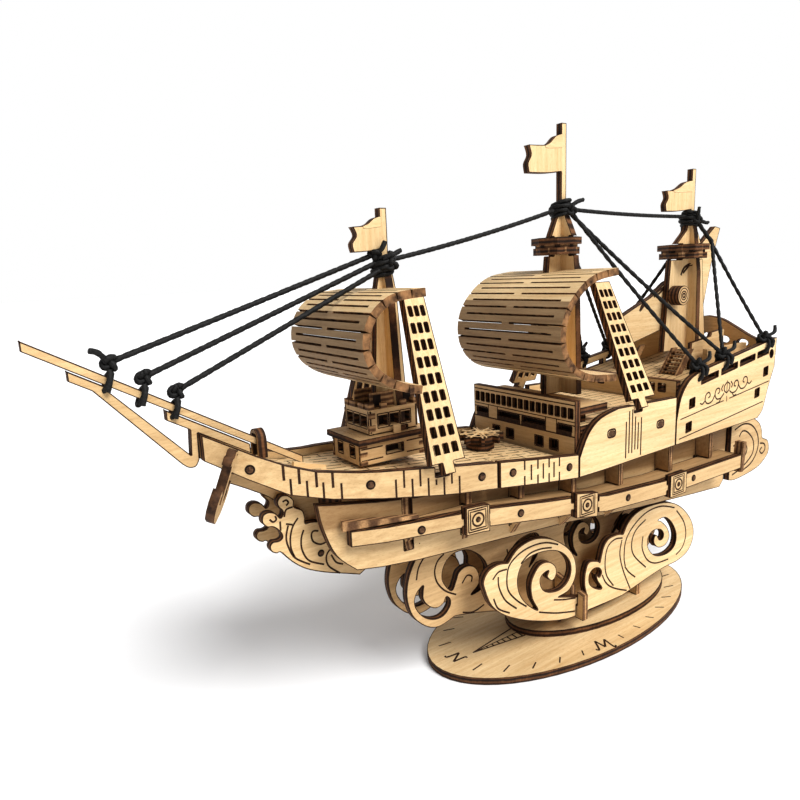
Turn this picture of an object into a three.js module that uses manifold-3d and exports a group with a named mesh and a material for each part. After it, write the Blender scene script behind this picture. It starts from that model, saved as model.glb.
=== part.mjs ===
// Plywood kit model of a three-masted sailing ship on a stand of carved waves and an oval compass base.
// Millimetres. +X runs to the stern, +Y to starboard, +Z up. The origin is on the underside of the base,
// below the middle of the hull. Every flat piece is cut from the same sheet, so it is PLY thick.

import * as THREE from 'three';
import * as BufferGeometryUtils from 'three/addons/utils/BufferGeometryUtils.js';
import Module from 'manifold-3d';

const wasm = await Module();
wasm.setup();

// Sheet, fits and curve fineness
const PLY = 2;
const GAP = 0.3;
const TOUCH = 0.1;
const ARC_STEPS = 3;
const REACH = 200;

// Stand
const BASE = { x: 10.8, rx: 54.8, ry: 26.2 };
const TIER = { x: 22.5, rx: 35.5, ry: 17.2, bottom: PLY + TOUCH };
const WAVE_FOOT = TIER.bottom + PLY + TOUCH;
const OUTER_WAVE_Y = 15;
const INNER_WAVE_Y = 5.5;
const CROSS_X = [0.6, 34];

// Hull: half-breadth, gunwale edges, bottom edge and shelf height, each as stations [x, value]
const HALF_BREADTH = [[-106, 2.6], [-95, 8], [-85, 12.2], [-70, 17], [-50, 20.6], [-25, 23], [0, 24], [100, 24]];
const CHEEK_HALF = [[-106, 1.6], [-95, 2.3], [-79.5, 2.9], [-76, 7.4], [-72, 10.6], [-60, 12.6], [100, 12.6]];
const SKIN_HALF = [[-86, 10.6], [-80, 12.6], [-70, 15], [-60, 16], [100, 16]];
const KEEL_BOTTOM = [[-74, 47.6], [-60, 46.6], [-5, 42.4], [24, 39], [56, 36.6], [80, 35.4]];
const GUNWALE_TOP = [[-106, 83.8], [-96, 78.2], [-90, 75.3], [-84, 73.3], [-75, 71.9], [-52, 69.7], [-38, 68.1],
  [-10, 65]];
const GUNWALE_BOTTOM = [[-106, 78], [-98, 73], [-90, 68.5], [-81, 66.3], [-68, 64.5], [-55, 62.8], [-38, 61.2],
  [-10, 58.3]];
const SHELF_TOP = [[-80, 58.4], [-45, 57.4], [-15, 53.8], [0, 51.2], [28, 49.4], [74, 49.2]];
const BOW_X = -106;
const SHEET_JOINTS = { bowEnd: -38.4, midStart: -37.6, midEnd: -10.2, waistStart: -9.8, waistEnd: 34 };
const STERN_X = 93;
const DECK_DROP = 2;
const RIB_X = [-62.5, -45, -28, -8.5, 12, 37, 60];
const RAIL_HEIGHT = 4.6;
const GUSSET = 8;

// Deckhouses
const HOUSE_X = -9;
const POOP_X = 38;
const FORECASTLE = { x0: -69.5, x1: -50, half: 7, z0: 70.2, z1: 76 };
const CABIN = { x0: -66, x1: -51.5, half: 6, z0: 77.4, z1: 83.4 };

// Masts: axis x, head height, and the board widths [height, front reach, back reach]
const FORE_MAST = { x: -56, flag: [-64.7, 121.4, 127.4], head: 131.9,
  board: [[71, 6.5, 6.5], [88, 4.6, 4.6], [112, 3, 3], [119, 1.4, 1.4]] };
const MAIN_MAST = { x: 8.4, flag: [-5.9, 142.4, 149.9], head: 156.8,
  board: [[77.2, 7.6, 7.6], [113, 6.6, 6.6], [119, 6, 6], [119, 4, 3.2], [124.7, 4, 3.2], [124.7, 5.2, 2.8],
    [132, 1.8, 1.5], [134, 1.5, 1.5]] };
const REAR_MAST = { x: 75, flag: [59.4, 132.7, 139.5], head: 147.3,
  board: [[84.2, 14.4, 11.2], [90, 14, 10.8], [112, 12.2, 7.8], [116.3, 11.8, 7.4], [116.3, 5, 5], [121.8, 5, 5],
    [121.8, 8.6, 6], [126.5, 3, 3.4], [131, 1.5, 1.5]],
  cross: [[84.2, 5, 5], [112, 4.4, 4.4], [126, 2.6, 2.6], [131, 1.5, 1.5]] };
const FORE_SAIL_HALF = 18.2;
const MAIN_SAIL_HALF = 21.4;
const FORE_SAIL = [[-56.5, 112.6], [-64.6, 111.9], [-69.6, 109.6], [-72.6, 106.2], [-73.9, 102], [-73.6, 98],
  [-71.4, 94], [-67.4, 91], [-62.5, 89], [-58.6, 88.2]];
const MAIN_SAIL = [[8, 114.9], [0, 113.9], [-5, 112.1], [-9, 109.3], [-12.4, 105.8], [-14.5, 101.8], [-15.2, 97.4],
  [-14.4, 93], [-11.9, 89], [-8, 86], [-2, 84], [8, 83]];

// Capstan
const CAPSTAN = { x: -25.3, ring: 4.1, wheel: 6.8, spokes: 8 };

// Cords
const CORD_RADIUS = 0.65;
const CORD_SIDES = 6;

const PALE = 0xe0bd85;
const TAN = 0xc79c63;
const CORD_BLACK = 0x14120f;

const ship = new THREE.Group();

function solid(geometry) {
  const bare = geometry.index ? geometry.toNonIndexed() : geometry.clone();
  bare.deleteAttribute('normal');
  bare.deleteAttribute('uv');
  const merged = BufferGeometryUtils.mergeVertices(bare, 1e-4);
  return new wasm.Manifold(new wasm.Mesh({
    numProp: 3,
    vertProperties: new Float32Array(merged.attributes.position.array),
    triVerts: new Uint32Array(merged.index.array),
  }));
}

function geometryOf(body) {
  const mesh = body.getMesh();
  const geometry = new THREE.BufferGeometry();
  geometry.setAttribute('position', new THREE.BufferAttribute(new Float32Array(mesh.vertProperties), 3));
  geometry.setIndex(new THREE.BufferAttribute(new Uint32Array(mesh.triVerts), 1));
  return geometry;
}

function place(name, body, color = PALE) {
  const geometry = geometryOf(body);
  geometry.computeVertexNormals();
  const material = new THREE.MeshStandardMaterial({ color, roughness: 0.75, metalness: 0 });
  const mesh = new THREE.Mesh(geometry, material);
  mesh.name = name;
  ship.add(mesh);
}

function starboard(body) {
  const geometry = geometryOf(body);
  geometry.scale(1, -1, 1);
  const index = geometry.index.array;
  for (let i = 0; i < index.length; i += 3) {
    const second = index[i + 1];
    index[i + 1] = index[i + 2];
    index[i + 2] = second;
  }
  return solid(geometry);
}

function placePair(name, portBody, color = PALE) {
  place(`${name}_port`, portBody, color);
  place(`${name}_starboard`, starboard(portBody), color);
}

const all = (bodies) => bodies.reduce((joined, body) => joined.add(body));
const cut = (body, ...tools) => tools.reduce((left, tool) => left.subtract(tool), body);

// Shapes
function polygon(points) {
  return new THREE.Shape(points.map(([u, v]) => new THREE.Vector2(u, v)));
}

function blob(points, steps = 2) {
  const curve = new THREE.CatmullRomCurve3(points.map(([u, v]) => new THREE.Vector3(u, v, 0)), true, 'centripetal');
  return new THREE.Shape(curve.getPoints(points.length * steps).slice(0, -1).map((p) => new THREE.Vector2(p.x, p.y)));
}

function disc(u, v, ru, rv = ru, segments = 20) {
  const points = [];
  for (let i = 0; i < segments; i += 1) {
    const angle = (2 * Math.PI * i) / segments;
    points.push([u + ru * Math.cos(angle), v + rv * Math.sin(angle)]);
  }
  return polygon(points);
}

function distinct(points) {
  return points.filter((p, i) => p.distanceTo(points[(i + 1) % points.length]) > 0.02);
}

// A flat piece with the shape's outline and holes, turned into place by a matrix
function plate(shape, depth, matrix) {
  const prism = (outline, low, high) => {
    const flat = new THREE.Shape(distinct(outline.getPoints(ARC_STEPS)));
    const geometry = new THREE.ExtrudeGeometry(flat, { depth: high - low, bevelEnabled: false });
    return solid(geometry.translate(0, 0, low).applyMatrix4(matrix));
  };
  return cut(prism(shape, 0, depth), ...shape.holes.map((hole) => prism(hole, -1, depth + 1)));
}

// A shape drawn in X and Z, running from y0 to y1
function sidePlate(shape, y0, y1) {
  const turn = new THREE.Matrix4().makeRotationX(Math.PI / 2).setPosition(0, y1, 0);
  return plate(shape, y1 - y0, turn);
}

// A shape drawn in Y and Z, running from x0 to x1
function crossPlate(shape, x0, x1) {
  const turn = new THREE.Matrix4().makeBasis(
    new THREE.Vector3(0, 1, 0),
    new THREE.Vector3(0, 0, 1),
    new THREE.Vector3(1, 0, 0),
  );
  return plate(shape, x1 - x0, turn.setPosition(x0, 0, 0));
}

// A shape drawn in X and Y, running from z0 to z1
function levelPlate(shape, z0, z1) {
  return plate(shape, z1 - z0, new THREE.Matrix4().makeTranslation(0, 0, z0));
}

function box(x0, x1, y0, y1, z0, z1) {
  const geometry = new THREE.BoxGeometry(x1 - x0, y1 - y0, z1 - z0);
  return solid(geometry.translate((x0 + x1) / 2, (y0 + y1) / 2, (z0 + z1) / 2));
}

// Value at x of a curve given by stations [x, value]
function at(stations, x) {
  const last = stations.length - 1;
  if (x <= stations[0][0]) return stations[0][1];
  if (x >= stations[last][0]) return stations[last][1];
  const i = stations.findIndex(([sx]) => sx > x);
  const [x0, v0] = stations[i - 1];
  const [x1, v1] = stations[i];
  return v0 + ((v1 - v0) * (x - x0)) / (x1 - x0);
}

function stationsBetween(stations, x0, x1) {
  const inner = stations.map(([x]) => x).filter((x) => x > x0 + 0.5 && x < x1 - 0.5);
  return [x0, ...inner, x1];
}

// A band in X and Z that follows a curve, from its value plus low to its value plus high
function band(stations, x0, x1, low, high) {
  const xs = stationsBetween(stations, x0, x1);
  const top = xs.map((x) => [x, at(stations, x) + high]);
  const bottom = xs.map((x) => [x, at(stations, x) + low]).reverse();
  return polygon([...bottom.reverse(), ...top.reverse()]);
}

// A strip of wall on the port side, standing on the plan curve of half-breadths
function portWall(half, x0, x1, thickness) {
  const xs = stationsBetween(half, x0, x1);
  const outside = xs.map((x) => [x, -at(half, x)]);
  const inside = xs.map((x) => [x, -at(half, x) + thickness]).reverse();
  return levelPlate(polygon([...outside, ...inside]), 0, REACH);
}

// The plan of a deck that lies between both sides, kept a distance inside the half-breadths
function planBetween(half, x0, x1, inset) {
  const xs = stationsBetween(half, x0, x1);
  const port = xs.map((x) => [x, -Math.max(at(half, x) - inset, 0.4)]);
  const star = xs.map((x) => [x, Math.max(at(half, x) - inset, 0.4)]).reverse();
  return levelPlate(polygon([...port, ...star]), 0, REACH);
}

function bentPlate(half, thickness, shape, x0, x1) {
  return portWall(half, x0, x1, thickness).intersect(sidePlate(shape, -REACH, 0));
}

// A tube along straight runs between points
function cord(points, radius = CORD_RADIUS) {
  const runs = [];
  for (let i = 0; i + 1 < points.length; i += 1) {
    const path = new THREE.LineCurve3(new THREE.Vector3(...points[i]), new THREE.Vector3(...points[i + 1]));
    const section = disc(0, 0, radius, radius, CORD_SIDES);
    runs.push(solid(new THREE.ExtrudeGeometry(section, { steps: 1, extrudePath: path })));
  }
  return all(runs);
}

function knot([x, y, z], radius) {
  return solid(new THREE.IcosahedronGeometry(radius, 0).translate(x, y, z));
}

// ---------------------------------------------------------------- stand
function tie(x, low, points) {
  const half = [[8, WAVE_FOOT], [9, low], ...points];
  const mirrored = half.map(([y, z]) => [-y, z]).reverse();
  return crossPlate(polygon([...half, ...mirrored]), x - PLY / 2, x + PLY / 2);
}

function crossSlot(x, top) {
  return box(x - PLY / 2 - GAP, x + PLY / 2 + GAP, -REACH, REACH, 0, top);
}

function curveTo(shape, points) {
  shape.splineThru(points.map(([u, v]) => new THREE.Vector2(u, v)));
}

function outerWave() {
  const shape = new THREE.Shape();
  shape.moveTo(-13.2, 12.1);
  curveTo(shape, [[-22, 15.6], [-31.2, 20.6], [-36.9, 25.7], [-38.4, 30.6], [-36.6, 34.8], [-32.4, 35.9], [-28, 34.6]]);
  curveTo(shape, [[-24.4, 37], [-19, 38.8], [-12, 38.8], [-5.1, 35.4], [-0.2, 28.8], [0.8, 22], [-2.6, 17.2]]);
  shape.lineTo(4.6, 15.2);
  curveTo(shape, [[4.2, 19.6], [7, 24.2], [11, 25.2]]);
  curveTo(shape, [[12.8, 29.2], [17, 31.2], [21.6, 30.4]]);
  curveTo(shape, [[24.6, 34.8], [31, 36.5], [39, 36.4], [47.6, 34], [55.8, 28.6], [60.8, 22], [59.8, 16], [52.4, 12.2]]);
  curveTo(shape, [[39, 11.2], [22, 8.8], [5.7, 9.2], [-4.6, 9.8], [-13.2, 12.1]]);
  shape.holes.push(blob([[-21.6, 32], [-17.7, 34.6], [-12, 34.3], [-6.4, 30.6], [-3.6, 24.6], [-6.2, 20.8], [-9.6, 22.8],
    [-12.2, 26], [-16.4, 27.4], [-18.4, 25], [-16.6, 20.4], [-21.4, 24.2], [-23, 28.4]]));
  shape.holes.push(blob([[6.8, 18.4], [8.6, 22.6], [12, 22], [9.8, 20.2], [11.6, 16.6], [8.2, 15.6]]));
  shape.holes.push(blob([[41.6, 31.6], [48.6, 28], [51, 21.4], [44, 15.6], [36.6, 17.2], [34, 22], [37, 22.6],
    [41, 20.4], [45.6, 23.6], [45, 28.8]]));
  return sidePlate(shape, -OUTER_WAVE_Y, -OUTER_WAVE_Y + PLY);
}

function innerWave() {
  const shape = new THREE.Shape();
  shape.moveTo(-46, 17.2);
  curveTo(shape, [[-52.6, 20.6], [-56.8, 26.4], [-57.8, 33], [-56.6, 40], [-54.4, 45.6]]);
  for (const [x, z] of KEEL_BOTTOM.slice(2, 4)) shape.lineTo(x, z + 1.2);
  shape.lineTo(52, at(KEEL_BOTTOM, 52) + 1.2);
  curveTo(shape, [[55.6, 27], [47, 14]]);
  shape.lineTo(40, WAVE_FOOT);
  shape.lineTo(-4, WAVE_FOOT);
  curveTo(shape, [[-13, 9], [-23, 14.6], [-34, 16.8], [-46, 17.2]]);
  shape.holes.push(disc(-36.6, 32, 8.2, 6.4, 20));
  shape.holes.push(blob([[-54.6, 29.8], [-53.6, 24.6], [-48.6, 21.2], [-43, 22.2], [-43, 26], [-46, 24.8], [-49.4, 26.4],
    [-52.2, 31.8]]));
  shape.holes.push(disc(-9.6, 27, 8.4, 7.6, 20));
  shape.holes.push(disc(17, 24, 8.2, 7, 20));
  shape.holes.push(disc(40, 24, 8, 7, 20));
  return sidePlate(shape, -INNER_WAVE_Y, -INNER_WAVE_Y + PLY);
}

place('compass_base', levelPlate(disc(BASE.x, 0, BASE.rx, BASE.ry, 60), 0, PLY));
place('base_tier', levelPlate(disc(TIER.x, 0, TIER.rx, TIER.ry, 48), TIER.bottom, TIER.bottom + PLY));
const [FRONT_TIE, REAR_TIE] = CROSS_X;
placePair('wave_outer', cut(outerWave(), crossSlot(FRONT_TIE, 13.3)));
placePair('wave_inner', cut(innerWave(), crossSlot(FRONT_TIE, 13.3), crossSlot(REAR_TIE, 12)), TAN);
const waveNotch = (y, z) => box(-REACH, REACH, y - PLY - GAP, y + GAP, z, REACH);
const frontNotches = [OUTER_WAVE_Y, INNER_WAVE_Y, -OUTER_WAVE_Y + PLY, -INNER_WAVE_Y + PLY].map((y) => waveNotch(y, 13));
const rearNotches = [INNER_WAVE_Y, -INNER_WAVE_Y + PLY].map((y) => waveNotch(y, 11.7));
const frontTie = tie(FRONT_TIE, 8.8, [[17.6, 8.8], [17.6, 17], [12, 18.4], [6, 20]]);
const rearTie = tie(REAR_TIE, WAVE_FOOT, [[12.4, WAVE_FOOT], [12.4, 14], [6, 18]]);
place('wave_tie_front', cut(frontTie, ...frontNotches), TAN);
place('wave_tie_rear', cut(rearTie, ...rearNotches), TAN);

// ---------------------------------------------------------------- hull skeleton
function rib(x) {
  const top = x < HOUSE_X ? at(GUNWALE_TOP, x) - DECK_DROP - PLY - GAP : 61;
  const shelf = at(SHELF_TOP, x);
  const bottom = at(KEEL_BOTTOM, x) + 1.5;
  const knee = at(HALF_BREADTH, x) - PLY - 1.2;
  const skin = at(SKIN_HALF, x);
  const hidden = skin - PLY - GAP;
  const kneeTop = Math.min(top, at(GUNWALE_BOTTOM, x) + 3);
  const halfShape = [[0, bottom], [hidden - 2, bottom], [hidden, bottom + 4], [hidden, shelf - GUSSET], [skin + 0.6, shelf - GUSSET],
    [knee - 1.4, shelf - PLY - GAP], [skin + GAP, shelf - PLY - GAP], [skin + GAP, shelf + GAP], [knee, shelf + GAP],
    [knee, kneeTop], [knee, top]];
  const mirroredHalf = halfShape.map(([y, z]) => [-y, z]).reverse();
  return crossPlate(polygon([...halfShape, ...mirroredHalf.slice(0, -1)]), x - PLY / 2, x + PLY / 2);
}

function ribSlot(x) {
  const shelf = at(SHELF_TOP, x);
  const reach = at(HALF_BREADTH, x);
  return box(x - PLY / 2 - GAP, x + PLY / 2 + GAP, -reach, reach, shelf - GUSSET - GAP, REACH);
}

const keelPlate = sidePlate(band(KEEL_BOTTOM, -74, 80, 0.6, 12), -PLY / 2, PLY / 2);
const sternCross = crossPlate(polygon([[-14, 40], [14, 40], [14, 54], [-14, 54]]), 78.6, 78.6 + PLY);
const deckBeam = sidePlate(polygon([[-60, 52], [80, 44], [80, 56], [-60, 60]]), -PLY / 2, PLY / 2);
place('keel_and_ribs', all([keelPlate, deckBeam, sternCross, ...RIB_X.map(rib)]), TAN);

// ---------------------------------------------------------------- hull sides
const skinShape = new THREE.Shape();
skinShape.moveTo(-76, 47.5);
skinShape.splineThru([[-80.6, 52], [-83.2, 59], [-84.2, 65]].map((p) => new THREE.Vector2(...p)));
skinShape.lineTo(-55, 62);
skinShape.lineTo(-10, 57.4);
skinShape.lineTo(78, 57.4);
skinShape.lineTo(77.4, 36.6);
skinShape.lineTo(75.2, 34.4);
skinShape.lineTo(58.2, 35.6);
skinShape.lineTo(24.5, 38.4);
skinShape.lineTo(-7.4, 42);
skinShape.lineTo(-61.3, 46.3);
const skin = bentPlate(SKIN_HALF, PLY, skinShape, -85, 78);
placePair('hull_skin', cut(skin, ...RIB_X.map(ribSlot)));

const cheekShape = new THREE.Shape();
cheekShape.moveTo(-101, 71.8);
cheekShape.lineTo(-101, 74.4);
cheekShape.lineTo(-90, 70.2);
cheekShape.lineTo(-66, 63.4);
cheekShape.lineTo(-66, 54);
cheekShape.lineTo(-76, 51);
curveTo(cheekShape, [[-84, 58.4], [-91, 65.6], [-96, 69], [-101, 71.8]]);
const CHEEK_THICKNESS = 1.2;
placePair('bow_cheek', bentPlate(CHEEK_HALF, CHEEK_THICKNESS, cheekShape, -101, -66), TAN);
const cheekSpace = portWall(CHEEK_HALF.map(([x, half]) => [x, half + GAP]), -101, -66, CHEEK_THICKNESS + 2 * GAP);

const shelfBand = sidePlate(band(SHELF_TOP, -79, 72, -PLY, 0), -REACH, 0);
const shelfPlan = cut(planBetween(HALF_BREADTH, -79, 72, 1), planBetween(SKIN_HALF, -90, 90, -2 * GAP));
const portOnly = box(-REACH, REACH, -REACH, 0, 0, REACH);
placePair('hull_shelf', shelfBand.intersect(shelfPlan).intersect(portOnly), TAN);

// The wale: four rail segments, joined by the medallion blocks that stand proud between them
const WALE_HALF = HALF_BREADTH.map(([x, half]) => [x, half + 1.5]);
const WALE_RUNS = [[-78.4, -50.6], [-42.4, -14.6], [-3.6, 28.2], [38.6, 71]];
const MEDALLION_HALF = WALE_HALF.map(([x, half]) => [x, half + 0.8]);
const MEDALLIONS = [[-50, -43], [-13.4, -5], [29, 37.4]];

function waleRun([x0, x1]) {
  const low = x0 < -60 ? -RAIL_HEIGHT + 1 : -RAIL_HEIGHT;
  return portWall(WALE_HALF, x0, x1, PLY).intersect(sidePlate(band(SHELF_TOP, x0, x1, low, 0.2), -REACH, 0));
}

function medallion([x0, x1]) {
  const edge = band(SHELF_TOP, x0, x1, -RAIL_HEIGHT - 0.9, 1.6);
  return portWall(MEDALLION_HALF, x0, x1, PLY).intersect(sidePlate(edge, -REACH, 0));
}

const waleTies = MEDALLIONS.map(([x0, x1]) => portWall(WALE_HALF, x0 - 2, x1 + 2, 1.4)
  .intersect(sidePlate(band(SHELF_TOP, x0 - 2, x1 + 2, -RAIL_HEIGHT + 1.4, -1.2), -REACH, 0)));
placePair('wale', all([...WALE_RUNS.map(waleRun), ...MEDALLIONS.map(medallion), ...waleTies]));

// ---------------------------------------------------------------- gunwale sheets
function gunwaleShape(x0, x1) {
  const xs = [...new Set([...stationsBetween(GUNWALE_TOP, x0, x1)])];
  const low = stationsBetween(GUNWALE_BOTTOM, x0, x1);
  return polygon([...low.map((x) => [x, at(GUNWALE_BOTTOM, x)]), ...xs.reverse().map((x) => [x, at(GUNWALE_TOP, x)])]);
}

const bowSheet = bentPlate(HALF_BREADTH, PLY, gunwaleShape(BOW_X, SHEET_JOINTS.bowEnd), BOW_X, SHEET_JOINTS.bowEnd);
const midSheet = bentPlate(HALF_BREADTH, PLY, gunwaleShape(SHEET_JOINTS.midStart, SHEET_JOINTS.midEnd),
  SHEET_JOINTS.midStart, SHEET_JOINTS.midEnd);

const waistShape = new THREE.Shape();
waistShape.moveTo(SHEET_JOINTS.waistStart, 58.4);
waistShape.lineTo(SHEET_JOINTS.waistEnd, 59.4);
waistShape.lineTo(SHEET_JOINTS.waistEnd, 74.8);
waistShape.lineTo(6, 75.6);
waistShape.splineThru([[-1.5, 74], [-6.4, 70.3], [SHEET_JOINTS.waistStart, 64]].map((p) => new THREE.Vector2(...p)));
const waistSheet = bentPlate(HALF_BREADTH, PLY, waistShape, SHEET_JOINTS.waistStart, SHEET_JOINTS.waistEnd);

const quarterShape = new THREE.Shape();
quarterShape.moveTo(34.4, 59.4);
quarterShape.lineTo(83, 60.2);
quarterShape.splineThru([[86.4, 63], [89.2, 70.5], [92.6, 77.6]].map((p) => new THREE.Vector2(...p)));
quarterShape.lineTo(STERN_X, 87.9);
quarterShape.lineTo(46.5, 81.4);
quarterShape.splineThru([[40.6, 79.2], [36.4, 74.4], [34.4, 67]].map((p) => new THREE.Vector2(...p)));
const RAIL_SLOTS = [[47, 56.6], [58.4, 68], [69.6, 79], [80.6, 88]];
const railSlope = (x) => 81.4 + ((87.9 - 81.4) * (x - 46.5)) / (STERN_X - 46.5);
const railSlot = ([x0, x1]) => sidePlate(polygon([[x0, railSlope(x0) - 4.4], [x1, railSlope(x1) - 4.4],
  [x1, railSlope(x1) - 2.4], [x0, railSlope(x0) - 2.4]]), -REACH, 0);
const quarterWindow = ([x, z]) => sidePlate(polygon([[x - 1.5, z - 1.6], [x + 1.5, z - 1.2], [x + 1.5, z + 1.8],
  [x - 1.5, z + 1.4]]), -REACH, 0);
const QUARTER_WINDOWS = [[42.4, 71.6], [41, 64], [81.8, 69.4], [86.8, 76.4]];
const portHole = sidePlate(disc(90, 82.4, 1.3, 1.5, 12), -REACH, 0);
const quarterSheet = cut(bentPlate(HALF_BREADTH, PLY, quarterShape, 34.4, STERN_X), ...RAIL_SLOTS.map(railSlot),
  ...QUARTER_WINDOWS.map(quarterWindow), portHole);

// ---------------------------------------------------------------- decks and houses
const deckBand = sidePlate(band(GUNWALE_TOP, -98, -10.4, -DECK_DROP - PLY, -DECK_DROP), -REACH, REACH);
const deckPlan = planBetween(HALF_BREADTH, -98, -10.4, PLY + GAP);

const HOUSE_FLOOR = 70;
const HOUSE_HALF = 21.2;
const frontWall = crossPlate(polygon([[-HOUSE_HALF, 61.6], [HOUSE_HALF, 61.6], [HOUSE_HALF, 79.4], [-HOUSE_HALF, 79.4]]),
  HOUSE_X, HOUSE_X + PLY);
const windowPitch = 2.44;
const houseWindows = [];
for (let i = -8; i <= 8; i += 1) {
  const y = i * windowPitch;
  houseWindows.push(box(HOUSE_X - 1, HOUSE_X + PLY + 1, y - 0.85, y + 0.85, 74.3, 77.1));
}
for (const y of [-13.4, -7.6, 4.6, 10.8]) {
  houseWindows.push(box(HOUSE_X - 1, HOUSE_X + PLY + 1, y - 1.4, y + 1.4, 64.4, 67));
}
for (const [y0, y1] of [[-20, -14.6], [-10, -0.6], [0.4, 10], [14.6, 20]]) {
  houseWindows.push(box(HOUSE_X - 1, HOUSE_X + PLY + 1, y0, y1, 70.4, 72));
}
const houseDeck = box(HOUSE_X + PLY + GAP, POOP_X - GAP, -HOUSE_HALF, HOUSE_HALF, HOUSE_FLOOR, HOUSE_FLOOR + PLY);
const houseRoof = box(HOUSE_X + PLY + GAP, 4.5, -HOUSE_HALF, HOUSE_HALF, 75.2, 75.2 + PLY);
const roofLeg = (y) => box(-3, -1, y - 6, y + 6, HOUSE_FLOOR + PLY - TOUCH, 75.3);

const poopWall = box(POOP_X, POOP_X + PLY, -HOUSE_HALF, HOUSE_HALF, 61.6, 79);
const POOP_LINE = [[POOP_X, 76.4], [88.6, 83.2]];
const poopDeck = sidePlate(band(POOP_LINE, POOP_X + PLY - 0.5, 88.6, -PLY, 0), -HOUSE_HALF, HOUSE_HALF);
const poopWindows = [-16, -12, -8, 8, 12, 16].map((y) => box(POOP_X - 1, POOP_X + PLY + 1, y - 1.3, y + 1.3, 75, 77.6));

const transomShape = new THREE.Shape();
transomShape.moveTo(-21, 60.6);
transomShape.lineTo(21, 60.6);
transomShape.lineTo(21.4, 86.6);
transomShape.splineThru([[16.5, 88.4], [11, 91.4], [5.5, 94.2], [0, 95.2]].map((p) => new THREE.Vector2(...p)));
transomShape.splineThru([[-5.5, 94.2], [-11, 91.4], [-16.5, 88.4], [-21.4, 86.6]].map((p) => new THREE.Vector2(...p)));
for (const y of [-14, -7, 0, 7, 14]) {
  transomShape.holes.push(disc(y, 87.4 - Math.abs(y) * 0.12, 2.2, 1.4, 12));
}
place('main_deck', deckBand.intersect(deckPlan));
place('house_front', cut(frontWall, ...houseWindows), TAN);

function hollowHouse(room, windows) {
  const outer = box(room.x0, room.x1, -room.half, room.half, room.z0, room.z1);
  const inner = box(room.x0 + PLY, room.x1 - PLY, -room.half + PLY, room.half - PLY, room.z0 - 1, room.z1 - PLY);
  return cut(outer, inner, ...windows);
}

const forecastleWindows = [
  ...[-3, 3].map((y) => box(FORECASTLE.x0 - 1, FORECASTLE.x0 + PLY + 1, y - 0.9, y + 0.9, 72, 74.4)),
  box(-62, -57, -REACH, REACH, 72, 74),
];
const cabinWindows = [
  ...[-3.4, 0, 3.4].map((y) => box(CABIN.x0 - 1, CABIN.x0 + PLY + 1, y - 1.2, y + 1.2, 79, 81.8)),
  ...[-62, -58.6, -55.2].map((x) => box(x - 1.2, x + 1.2, -REACH, REACH, 79, 81.8)),
];
const brim = box(FORECASTLE.x0 - 1, FORECASTLE.x1 + 1, -FORECASTLE.half - 1.2, FORECASTLE.half + 1.2, FORECASTLE.z1 - 0.4,
  FORECASTLE.z1 + 1);

// ---------------------------------------------------------------- masts
function mastBoard(mast, side) {
  const rows = side && mast.cross ? mast.cross : mast.board;
  const front = rows.map(([z, reach]) => [-reach, z]);
  const back = rows.map(([z, reach, rear]) => [side ? reach : rear, z]).reverse();
  return [...front, ...back];
}

function mastLong(mast) {
  const outline = mastBoard(mast, false).map(([u, z]) => [mast.x + u, z]);
  const neck = mast.board[mast.board.length - 1][0] - 0.5;
  const [tip, low, high] = mast.flag;
  const pole = polygon([[mast.x - 1, neck], [mast.x + 1, neck], [mast.x + 1, mast.head], [mast.x - 1, mast.head]]);
  const flag = new THREE.Shape();
  flag.moveTo(mast.x, low + 1);
  flag.lineTo(mast.x, high + 1.4);
  flag.splineThru([[tip * 0.5 + mast.x * 0.5, high + 0.4], [tip, high]].map((p) => new THREE.Vector2(...p)));
  flag.splineThru([[tip + 0.9, high * 0.66 + low * 0.34], [tip - 0.4, high * 0.34 + low * 0.66], [tip, low]]
    .map((p) => new THREE.Vector2(...p)));
  flag.splineThru([[tip * 0.5 + mast.x * 0.5, low + 0.2], [mast.x, low + 1]].map((p) => new THREE.Vector2(...p)));
  const half = PLY / 2;
  return all([sidePlate(polygon(outline), -half, half), sidePlate(pole, -half, half), sidePlate(flag, -half, half)]);
}

function mastCross(mast) {
  return crossPlate(polygon(mastBoard(mast, true)), mast.x - PLY / 2, mast.x + PLY / 2);
}

const sailedMast = (mast) => mastLong(mast).add(mastCross(mast));

function clearOf(mast, grow = GAP) {
  const widen = ([z, front, back]) => [z, front + grow, back + grow];
  const wide = { ...mast, board: mast.board.map(widen), cross: mast.cross && mast.cross.map(widen) };
  const long = sidePlate(polygon(mastBoard(wide, false).map(([u, z]) => [mast.x + u, z])), -PLY / 2 - grow, PLY / 2 + grow);
  const cross = crossPlate(polygon(mastBoard(wide, true)), mast.x - PLY / 2 - grow, mast.x + PLY / 2 + grow);
  const pole = box(mast.x - 1 - grow, mast.x + 1 + grow, -PLY / 2 - grow, PLY / 2 + grow, 100, mast.head);
  return all([long, cross, pole]);
}

// A sheet bent into a sail: the outer line, and the same line moved in by the thickness
function sail(line, half) {
  const outer = new THREE.SplineCurve(line.map(([x, z]) => new THREE.Vector2(x, z)));
  const count = 20;
  const outside = [];
  const inside = [];
  for (let i = 0; i <= count; i += 1) {
    const p = outer.getPointAt(i / count);
    const t = outer.getTangentAt(i / count);
    outside.push([p.x, p.y]);
    inside.push([p.x - t.y * PLY, p.y + t.x * PLY]);
  }
  return sidePlate(polygon([...outside, ...inside.reverse()]), -half, half);
}

const foreClear = clearOf(FORE_MAST);
const mainClear = clearOf(MAIN_MAST);
const rearClear = clearOf(REAR_MAST);

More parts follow.
